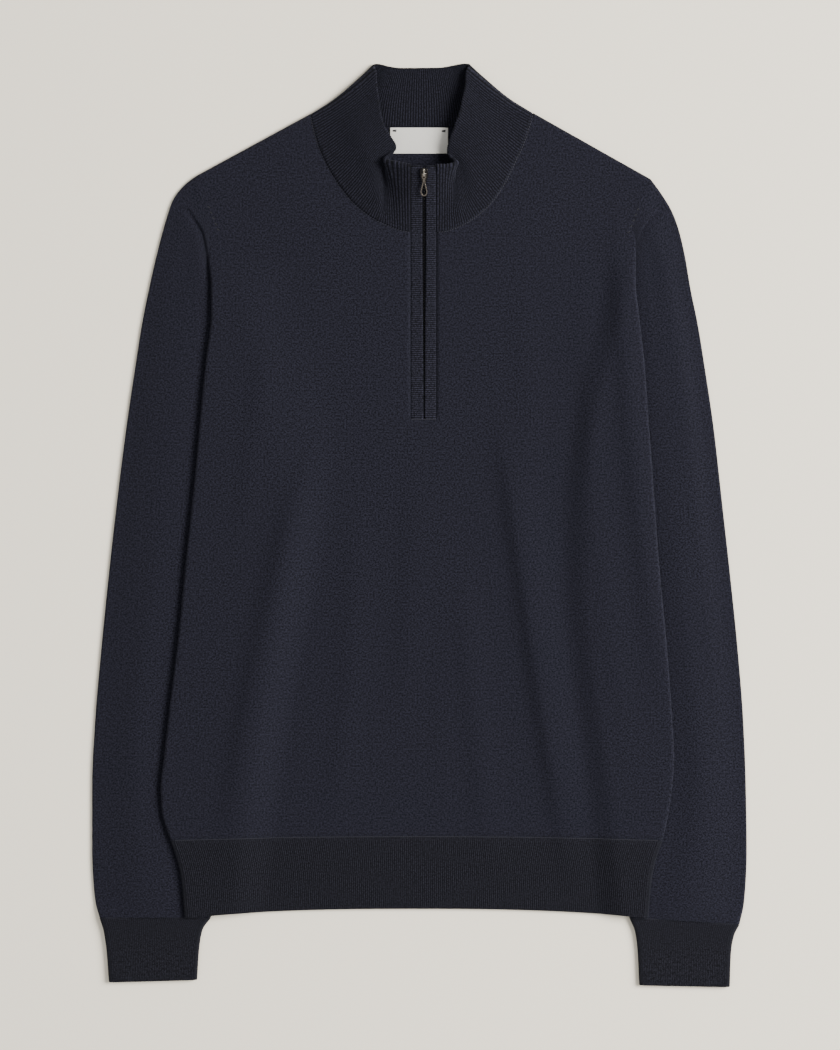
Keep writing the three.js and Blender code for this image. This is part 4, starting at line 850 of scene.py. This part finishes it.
points, raised, uv = hem_grid(True)
hem_front = shell("hem_front_rib", points, RIB, welt_rib, uv, up=raised, lips=("first",))
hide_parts("hem_front")
points, raised, uv = hem_grid(False)
hem_back = shell("hem_back_rib", points, RIB, welt_rib, uv, down=raised * 0.5, flip=True,
                 lips=("first",))
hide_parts("hem_back")

# %% [markdown]
# ## Sleeves and cuffs
# A sleeve laid flat is a tube pressed nearly shut: two layers with a soft fold down each side. It
# leaves the armhole, bends down and goes under the body. The upper layer rises softly towards the
# body that lies on it. Where the sleeve turns down at the armpit the cloth drops in a short crease:
# steep on the body's side, where the photograph has its darkest line, and soft on the sleeve's.

# %% Flattened tube
DOME, DOME_SKEW = 1.5, 1.5
OUTER_HEIGHT = 2.7
# y and x down each crease, then its depth there
CREASES = {
    "left": [(272, -200, 0), (265, -195.4, 0.9), (256, -189.6, 1.9), (247, -184.8, 2.2),
             (236, -182.4, 2.2), (217, -179.2, 1.8), (200, -177.5, 0)],
    "right": [(272, 206, 0), (264, 199.4, 0.5), (257, 193.4, 1.0), (249.5, 188.6, 1.0),
              (240, 185.6, 0.6), (222, 184, 0)],
}
STEEP, SOFT = 1.4, 4.8
SLEEVE_FOLDS = {
    "left": [dict(at=0.28, top=0.1, bottom=0.75, width=9, height=0.8),
             dict(at=0.5, top=0.0, bottom=0.42, width=8, height=-0.6),
             dict(at=0.62, top=0.5, bottom=0.98, width=10, height=0.7)],
    "right": [dict(at=0.36, top=0.12, bottom=0.8, width=9, height=1.0),
              dict(at=0.62, top=0.02, bottom=0.4, width=8, height=-0.7),
              dict(at=0.7, top=0.5, bottom=0.97, width=9, height=0.8)],
}


def around(over, under, lip=7):
    """Places round a flattened tube, closer together at its two folds."""
    edge = np.linspace(0, EDGE, lip)[:-1]
    top = np.concatenate([edge, over, 0.5 - edge[::-1]])
    bottom = np.concatenate([edge, under, 0.5 - edge[::-1]]) + 0.5
    return np.concatenate([top[:-1], bottom[:-1]])


def flat_tube(rows, side, u, v, thickness, dome=0.0, soft=()):
    rows = np.array(rows, float)
    at = np.linspace(0, 1, len(rows))
    curves = through(at, rows)(v)
    outer, inner, bow_share, high, shows = (
        curves[..., 0:2], curves[..., 2:4], curves[..., 4], curves[..., 5], curves[..., 6])
    wide = np.linalg.norm(inner - outer, axis=-1)
    over = u <= 0.5
    near = np.where(over, np.minimum(u, 0.5 - u), np.minimum(1 - u, u - 0.5))
    from_outer = np.where(over, u < 0.25, u > 0.75)
    low = mix(high, OUTER_HEIGHT, ease(0, 0.08, v) * (1 - ease(0.93, 1, v))) if dome else high
    rounded = 1.45 * (np.where(from_outer, low, high) - thickness) / 2
    inset = np.where(near < EDGE, rounded * (1 - np.cos(np.clip(near / EDGE, 0, 1) * np.pi / 2)),
                     mix(rounded, wide / 2, (near - EDGE) / (0.25 - EDGE)))
    along = np.where(from_outer, inset / wide, 1 - inset / wide)
    bow = np.stack([bow_share * (curve(along) - mix(float(curve(0)), float(curve(1)), along))
                    for curve in armhole(side)], -1)
    high = mix(low, high, ease(0, 0.6 * shows, along))
    z = high / 2 + np.where(over, 1, -1) * (high - thickness) / 2 * curl(inset, rounded)
    top = np.where(over, ease(0, 3 * rounded, inset), 0)
    spot = mix(outer, inner, along[..., None]) + bow
    if dome:
        rise = dome * ease(0, 0.14, v)
        z = z + rise * np.sin(np.pi * np.clip(along / shows, 0, 1) ** DOME_SKEW) * top
        crease_x, depth = by_height(CREASES[side])
        x, y = spot[..., 0], spot[..., 1]
        gap = (x - crease_x(y)) * (1 if side == "left" else -1)
        z = z - depth(y) * np.exp(-((gap / np.where(gap > 0, STEEP, SOFT)) ** 2)) * top
    for fold in soft:
        down = np.clip((v - fold["top"]) / (fold["bottom"] - fold["top"]), 0, 1)
        gap = (along - fold["at"] * shows) * wide
        z = z + fold["height"] * np.sin(np.pi * down) * np.exp(-((gap / fold["width"]) ** 2)) * top
    return np.concatenate([spot, z[..., None]], -1), along * wide, over


# %% Sleeves
sleeves, cuffs = {}, {}
for side in ("left", "right"):
    u, v = np.meshgrid(around(np.linspace(EDGE, 0.5 - EDGE, 72), np.linspace(EDGE, 0.5 - EDGE, 16)),
                       np.concatenate([np.linspace(0, 0.3, 100), np.linspace(0.3, 1, 110)[1:]]))
    points, across, over = flat_tube(SLEEVES[side], side, u, v, JERSEY, DOME, SLEEVE_FOLDS[side])
    length = np.concatenate([[0], np.cumsum(np.linalg.norm(
        np.diff(points[:, 20, :2], axis=0), axis=1))])
    uv = np.stack([across, np.broadcast_to(length[:, None], across.shape)], -1)
    sleeves[side] = shell(f"sleeve_{side}_knit", points, JERSEY, jersey, uv, closed=True,
                          flip=side == "right")
    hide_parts(f"sleeve_{side}")

# %% Cuffs
CUFF_WIDTH, CUFF_HEIGHT = 82, 54
for side in ("left", "right"):
    count = round(CUFF_WIDTH / WELT_RIB)
    ribbed, raised = rib_columns(EDGE, 0.5 - EDGE, count)
    columns = around(ribbed, ribbed, 5)
    heights = np.zeros(len(columns))
    heights[4 : 4 + len(raised)] = raised
    u, v = np.meshgrid(columns, np.linspace(0, 1, 16))
    points, across, over = flat_tube(CUFFS[side], side, u, v, RIB)
    ribs_across = np.where(over, u - EDGE, u - 0.5 - EDGE) / (0.5 - 2 * EDGE) * count * WELT_RIB
    uv = np.stack([ribs_across, v * CUFF_HEIGHT], -1)
    cuffs[side] = shell(f"cuff_{side}_rib", points, RIB, welt_rib, uv,
                        up=heights * RIB_RAISE, closed=True, flip=side == "right",
                        lips=("last",))
    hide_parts(f"cuff_{side}")

# %% [markdown]
# ## The collar
# The collar is the first thing anyone looks at, so its ribs are real geometry, four columns for
# each. They stand on both faces, apart from the outside of the back, which rests on the table. Its
# top edge is cast off loosely and rolls a little, so the band swells there before its lip.

# %% Collar
ROLL_FRONT, ROLL_BEHIND = 1.0, 0.1
FOLD_REACH, FOLD_ROUND = 9, 2.6
count = round(seam_length / COLLAR_RIB)
ribbed, raised = rib_columns(0, 1, count)
rows = np.concatenate([np.linspace(0, 0.85, 24), np.linspace(0.85, 0.985, 10)[1:]])
run = ribbed * seam_length
points = np.stack([collar_point(run, v) for v in rows])
near_fold = sum(np.exp(-(((run - at) / FOLD_REACH) ** 2)) for at in (fold_left_run, fold_right_run))
offsets = np.arange(-9, 10)
weights = np.exp(-((offsets * COLLAR_RIB / 4 / FOLD_ROUND) ** 2))
rounded = sum(w * np.roll(points, k, axis=1) for w, k in zip(weights / weights.sum(), offsets))
points = mix(points, rounded, near_fold[:, None])
behind = run_of("behind")
resting = ease(fold_left_run, behind[0], run) * (1 - ease(behind[1], fold_right_run, run))
waist_left, waist_right = run_of("waist")
front_share = np.maximum(1 - ease(waist_left - 14, waist_left, run),
                         ease(waist_right, waist_right + 14, run))
swell = mix(ROLL_BEHIND, ROLL_FRONT, front_share) * ease(0.86, 0.985, rows)[:, None]
up = (raised * RIB_RAISE + swell) * (1 - resting)
down = raised * RIB_RAISE + swell * (1 - 0.6 * resting)
height = np.linalg.norm(np.diff(points, axis=0), axis=2)
climb = np.concatenate([np.zeros((1, len(run))), np.cumsum(height, axis=0)])
uv = np.stack([np.broadcast_to(ribbed * count * COLLAR_RIB, climb.shape), climb], -1)
collar = shell("collar_rib", points, RIB, collar_rib, uv, up=up, down=down, flip=True,
               lips=("last",))
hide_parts("collar")

# %% [markdown]
# ## The zip
# Two narrow ribbed strips hide the zip and nearly meet over it. Under them lie the two tapes with
# the closed coil between. At the top sits the metal slider, and its pull hangs from a small bridge.

# %% Strips and tapes
def zip_level(y):
    up = np.clip((y - ZIP["seam"]) / (ZIP["top"] - ZIP["seam"]), 0, 1)
    on_collar = through(LEVELS, station_points[0, :, 2])(up)
    return np.where(y > ZIP["seam"], on_collar, front_level(np.full(np.shape(y), ZIP["middle"]), y))


FREE_EDGES = ("first", "last", "left", "right")
LEFT_SINK = 0.7


def strip(name, left):
    trim = 0.48 * STRIP
    count = round((ZIP["top"] - ZIP["bottom"]) / STRIP_RIB)
    y, raised = rib_columns(ZIP["bottom"] + trim, ZIP["top"] - trim, count)
    u, y = np.meshgrid(np.linspace(0, 1, 9), y)
    half = mix(ZIP["gap_bottom"], ZIP["gap_top"], ease(ZIP["bottom"], ZIP["seam"], y)) / 2
    inner, outer = ZIP["middle"] - half, ZIP["middle"] + half
    x = (mix(ZIP["left"] + trim, inner - trim, u) if left
         else mix(outer + trim, ZIP["right"] - trim, u))
    sunk = LEFT_SINK * (1 - u) if left else 0 * u
    points = np.stack([x, y, zip_level(y) + ZIP["proud"] - sunk], -1)
    smooth = 1 - ease(262, 285, y[:, 0])
    up = raised[:, None] * smooth[:, None] * 0.4
    uv = np.stack([y, x], -1)
    return shell(name, points, STRIP, strip_rib, uv, up=up, lips=FREE_EDGES)


def under_strip(name, start, end, bottom, top):
    trim = 0.48 * TAPE
    x, y = np.meshgrid(np.linspace(start + trim, end - trim, 5),
                       np.linspace(bottom + trim, top - trim, 60))
    z = zip_level(y) + ZIP["proud"] - STRIP / 2 - SEAM_GAP - TAPE / 2
    return shell(name, np.stack([x, y, z], -1), TAPE, tape_weave, np.stack([x, y], -1),
                 lips=FREE_EDGES)


strips = {"left": strip("placket_left_strip", True), "right": strip("placket_right_strip", False)}
tapes = {
    "left": under_strip("zip_tape_left_weave", ZIP["left"] + SEAM_GAP,
                        ZIP["middle"] - COIL_HALF - SEAM_GAP, *TAPE_ENDS),
    "right": under_strip("zip_tape_right_weave", ZIP["middle"] + COIL_HALF + SEAM_GAP,
                         ZIP["right"] - SEAM_GAP, *TAPE_ENDS),
}
for side in ("left", "right"):
    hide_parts(f"placket_{side}")
    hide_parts(f"zip_tape_{side}")

# %% Coil teeth
def pillow(centre, size, turn=0.0):
    """A small rounded bar: vertices and faces."""
    ring = [(-1, -1), (0, -1.25), (1, -1), (1.25, 0), (1, 1), (0, 1.25), (-1, 1), (-1.25, 0)]
    vertices, faces = [], []
    for level, scale in ((-1, 0.62), (-0.55, 0.92), (0.55, 0.92), (1, 0.62)):
        for a, b in ring:
            x, y = level * size[0] / 2, a * scale * size[1] / 2.5
            z = b * scale * size[2] / 2.5
            vertices.append((centre[0] + x * math.cos(turn) - y * math.sin(turn),
                             centre[1] + x * math.sin(turn) + y * math.cos(turn), centre[2] + z))
    for k in range(3):
        for j in range(8):
            a, b = 8 * k + j, 8 * k + (j + 1) % 8
            faces.append((a, b, b + 8, a + 8))
    faces.append(tuple(range(7, -1, -1)))
    faces.append(tuple(range(24, 32)))
    return vertices, faces


def many(name, parts, material, body="garment"):
    vertices, faces = [], []
    for some, around_them in parts:
        faces += [tuple(i + len(vertices) for i in face) for face in around_them]
        vertices += some
    return build(name, np.array(vertices) * MM, faces, material, body)


TOOTH_PITCH = 1.3
teeth = []
for i, y in enumerate(np.arange(COIL_ENDS[0] + 0.6, COIL_ENDS[1] - 0.4, TOOTH_PITCH)):
    z = float(zip_level(y)) + ZIP["proud"] - STRIP / 2 - SEAM_GAP - TAPE / 2
    side = -1 if i % 2 else 1
    teeth.append(pillow((ZIP["middle"] + side * 0.22, y, z), (1.7, 0.85, 0.9), side * 0.12))
coil = many("zip_coil_teeth", teeth, teeth_plastic)
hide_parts("zip_coil")

# %% [markdown]
# ## Slider and pull
# Both are cast, so every edge is rounded. Each starts as a flat outline with its real size, is
# given its thickness, and then a bevel rounds its edges. They are made in the slider's own frame,
# which tips with the slope of the collar, and the pull rides on its own body so that it can swing.

# %% Slider and pull
SLIDER_Y, SLIDER_UP, SLIDER_DOWN, SLIDER_THICK = 296.5, 4.6, 7.0, 1.8
slope = math.atan2(float(zip_level(SLIDER_Y + SLIDER_UP) - zip_level(SLIDER_Y - SLIDER_DOWN)),
                   SLIDER_UP + SLIDER_DOWN)
plate_top = ZIP["proud"] + STRIP / 2 + SEAM_GAP + SLIDER_THICK
slider_frame = (
    Matrix.Translation(Vector((ZIP["middle"], SLIDER_Y,
                               float(zip_level(SLIDER_Y)) + plate_top / math.cos(slope))))
    @ Matrix.Rotation(slope, 4, "X"))


def smooth_outline(corners, per_side=6):
    """A closed smooth line through its corners, by Catmull and Rom's rule."""
    corners = np.array(corners, float)
    result = []
    for i in range(len(corners)):
        before, a, b, after = [corners[(i + k) % len(corners)] for k in (-1, 0, 1, 2)]
        for t in np.linspace(0, 1, per_side, endpoint=False):
            result.append(0.5 * (2 * a + (b - before) * t + (2 * before - 5 * a + 4 * b - after)
                                 * t ** 2 + (3 * a - before - 3 * b + after) * t ** 3))
    return np.array(result)


def plate(name, outline, low, high, bevel, material, body, holes=(), axes="XYZ"):
    """An outline given a thickness, with rounded edges. axes says where x, y and z go."""
    made = bmesh.new()
    for loop in (outline, *holes):
        ring = [made.verts.new((x, y, low)) for x, y in loop]
        for a, b in zip(ring, ring[1:] + ring[:1]):
            made.edges.new((a, b))
    bmesh.ops.triangle_fill(made, use_beauty=True, edges=made.edges[:])
    bmesh.ops.dissolve_limit(made, angle_limit=0.01, verts=made.verts[:], edges=made.edges[:])
    lifted = bmesh.ops.extrude_face_region(made, geom=made.faces[:])
    raised = [v for v in lifted["geom"] if isinstance(v, bmesh.types.BMVert)]
    bmesh.ops.translate(made, vec=(0, 0, high - low), verts=raised)
    bmesh.ops.recalc_face_normals(made, faces=made.faces[:])
    order = ["XYZ".index(a) for a in axes]
    for vertex in made.verts:
        vertex.co = Vector([vertex.co[order.index(k)] for k in range(3)])
        vertex.co = (slider_frame @ vertex.co) * MM
    mesh = bpy.data.meshes.new(name)
    bmesh.ops.recalc_face_normals(made, faces=made.faces[:])
    made.to_mesh(mesh)
    made.free()
    piece = placed(mesh, material, body)
    rounded = piece.modifiers.new("rounded", "BEVEL")
    rounded.width = bevel * MM
    rounded.segments = 3
    rounded.limit_method = "ANGLE"
    rounded.angle_limit = math.radians(40)
    rounded.harden_normals = True
    return piece


shield = smooth_outline([(-2.0, 4.6), (-3.2, 3.4), (-3.2, 0), (-2.5, -5.2), (-1.4, -7.0), (1.4, -7.0),
                         (2.5, -5.2), (3.2, 0), (3.2, 3.4), (2.0, 4.6)])
slider_plate = plate("slider_plate", shield, -SLIDER_THICK, 0, 0.4, gunmetal, "garment")
arch_outer = [(-2.8, -0.3), (-2.8, 1.1), (-2.2, 2.1), (-1.1, 2.7), (0.9, 2.7), (1.7, 2.3),
              (1.95, 1.6), (2.2, 0.35), (4.1, 0.3), (4.3, -0.3)]
arch_inner = [(1.0, -0.3), (1.0, 1.4), (0.6, 1.9), (-0.6, 1.9), (-1.0, 1.4), (-1.0, -0.3)]
# The bridge takes the lighter nickel, whose colour carries a painted reflection
bridge = plate("slider_bridge", arch_outer + arch_inner, -0.8, 0.8, 0.22, nickel_painted_reflection,
               "garment", axes="YZX")
post = plate("slider_post", [(-1.1, -3), (1.1, -3), (1.1, 2.6), (-1.1, 2.6)],
             -SLIDER_THICK - STRIP - SEAM_GAP, -SLIDER_THICK + 0.4, 0.2, gunmetal,
             "garment")
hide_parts("zip_slider")

HINGE = 0.95
LOOP = [(1.3, 0.5), (1.75, 0), (1.75, -2.6), (0.95, -4.6), (1.1, -6.6), (1.9, -10.2), (2.75, -14.2),
        (2.7, -16.6), (1.6, -18.6)]
ring_outer = smooth_outline([(0, 0.55)] + LOOP + [(0, -19)] + [(-a, b) for a, b in LOOP[::-1]])
eye = smooth_outline([(-0.95, -0.55), (0.95, -0.55), (0.95, -2.6), (0.5, -3.1), (-0.5, -3.1),
                      (-0.95, -2.6)], 3)
teardrop = smooth_outline([(0, -6.2), (-0.45, -8.4), (-1.3, -12.2), (-1.95, -15), (-1.5, -17.1), (0, -18),
                           (1.5, -17.1), (1.95, -15), (1.3, -12.2), (0.45, -8.4)])
pull = plate("pull_ring", ring_outer, HINGE - 0.5, HINGE + 0.5, 0.44, nickel, "pull",
             holes=(eye, teardrop))
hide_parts("zip_pull")
print("slider slope, degrees:", round(math.degrees(slope), 1))

# %% [markdown]
# ## Neck label
# The label is woven satin, folded under at its ends and held by a few stitches at its top corners.
# It lies inside the back of the neck and dips a little between them. It carries no words.

# %% Label
x, y = np.meshgrid(np.linspace(LABEL["left"], LABEL["right"], 40),
                   np.linspace(LABEL["bottom"], LABEL["top"], 20))
across = (x - LABEL["left"]) / (LABEL["right"] - LABEL["left"])
down = (LABEL["top"] - y) / (LABEL["top"] - LABEL["bottom"])
z = LABEL["level"] + 0.12 * np.cos(2 * np.pi * across * 1.5) * down
points = np.stack([x, y, z], -1)
label = shell("neck_label", points, 0.6, satin, points[..., :2], lips=FREE_EDGES)
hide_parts("label")
CORNERS = [(-21.4, 334.9), (-21.6, 334.1), (20.2, 334.6), (20.0, 333.8)]
corner_stitches = many("label_stitches", [
    pillow((cx, cy, LABEL["level"] + 0.42), (3.2, 1.0, 0.5), 0.12 * (-1) ** i)
    for i, (cx, cy) in enumerate(CORNERS)], dark_thread)

# %% [markdown]
# ## Linked seams
# The ribs are linked to the jersey stitch by stitch, which leaves a fine chain along the neck, the
# hem and the cuffs. Each chain is a row of small rounded stitches set on the cloth's own surface.
# Near the armholes a few dark dashes show where stitches were moved to shape the panel.

# %% Seam chains
def chain(name, path, pitch, length, thick, slant, material):
    """Small stitches along a line of points, one for each pitch."""
    path = np.array(path)
    gone = np.concatenate([[0], np.cumsum(np.linalg.norm(np.diff(path, axis=0), axis=1))])
    stitches = []
    for s in np.arange(pitch / 2, gone[-1], pitch):
        spot = [np.interp(s, gone, path[:, k]) for k in range(3)]
        ahead = [np.interp(s + 0.5, gone, path[:, k]) for k in range(2)]
        behind_it = [np.interp(s - 0.5, gone, path[:, k]) for k in range(2)]
        angle = math.atan2(ahead[1] - behind_it[1], ahead[0] - behind_it[0]) + slant
        stitches.append(pillow(spot, (length, thick, thick * 0.8), angle))
    return many(name, stitches, material)


hem_x = np.linspace(left_side(-268) + 3, right_side(-268) - 3, 120)
share = (hem_x - left_side(-268)) / (right_side(-268) - left_side(-268))
hem_y = mix(*WELT_SEAM, 4 * share * (1 - share)) - 0.05
hem_top = FRONT_LEVEL + JERSEY / 2 + lift(hem_x, hem_y) + folds(hem_x, hem_y, FRONT_FOLDS)
chain("hem_seam", np.stack([hem_x, hem_y, hem_top + 0.05], -1), WELT_RIB, 1.5, 0.55, 0.35, thread)
for side in ("left", "right"):
    outer_x, outer_y, inner_x, inner_y = SLEEVES[side][-1][:4]
    step = np.linspace(0.05, 0.95, 60)
    cuff_top = SLEEVES[side][-1][5] + 0.05 + 0 * step
    chain(f"cuff_seam_{side}", np.stack([
        mix(outer_x, inner_x, step), mix(outer_y, inner_y, step) - 0.1, cuff_top], -1),
        WELT_RIB, 1.3, 0.5, 0.6, thread)
neck_run = np.linspace(zip_left_run + 0.5, fold_left_run - 2, 160)
for name, runs_here in (("neck_seam_left", neck_run),
                        ("neck_seam_right", np.linspace(fold_right_run + 2, zip_right_run - 0.5, 160))):
    edge = neck_edge(runs_here)
    seam_z = front_level(edge[:, 0], edge[:, 1]) + JERSEY / 2
    chain(name, np.stack([edge[:, 0], edge[:, 1], seam_z + 0.1], -1), COLLAR_RIB, 1.8, 0.7, 0.6,
          thread)
across = np.linspace(ZIP["left"], ZIP["right"], 20)
seam_y = np.full(20, ZIP["bottom"] - 0.3)
seam_z = zip_level(seam_y) + ZIP["proud"] + STRIP / 2 - 0.1
chain("placket_seam", np.stack([across, seam_y, seam_z], -1), 1.5, 1.5, 0.7, 0.2, thread)

# %% Fashioning marks beside the armholes
# Where each row of marks starts and ends; a mark shows where a stitch was moved to shape the panel
MARKS = {"left": [(-180.5, 272), (-169.5, 246)], "right": [(186, 270), (175.5, 244)]}
for side, ((top_x, top_y), (low_x, low_y)) in MARKS.items():
    along = np.linspace(0, 1, 12)
    mark_x, mark_y = mix(top_x, low_x, along), mix(top_y, low_y, along)
    mark_z = front_level(mark_x, mark_y) + JERSEY / 2 - 0.1
    chain(f"fashioning_{side}", np.stack([mark_x, mark_y, mark_z], -1), 5.2, 2.6, 0.8,
          0.5 if side == "left" else -0.5, dark_thread)
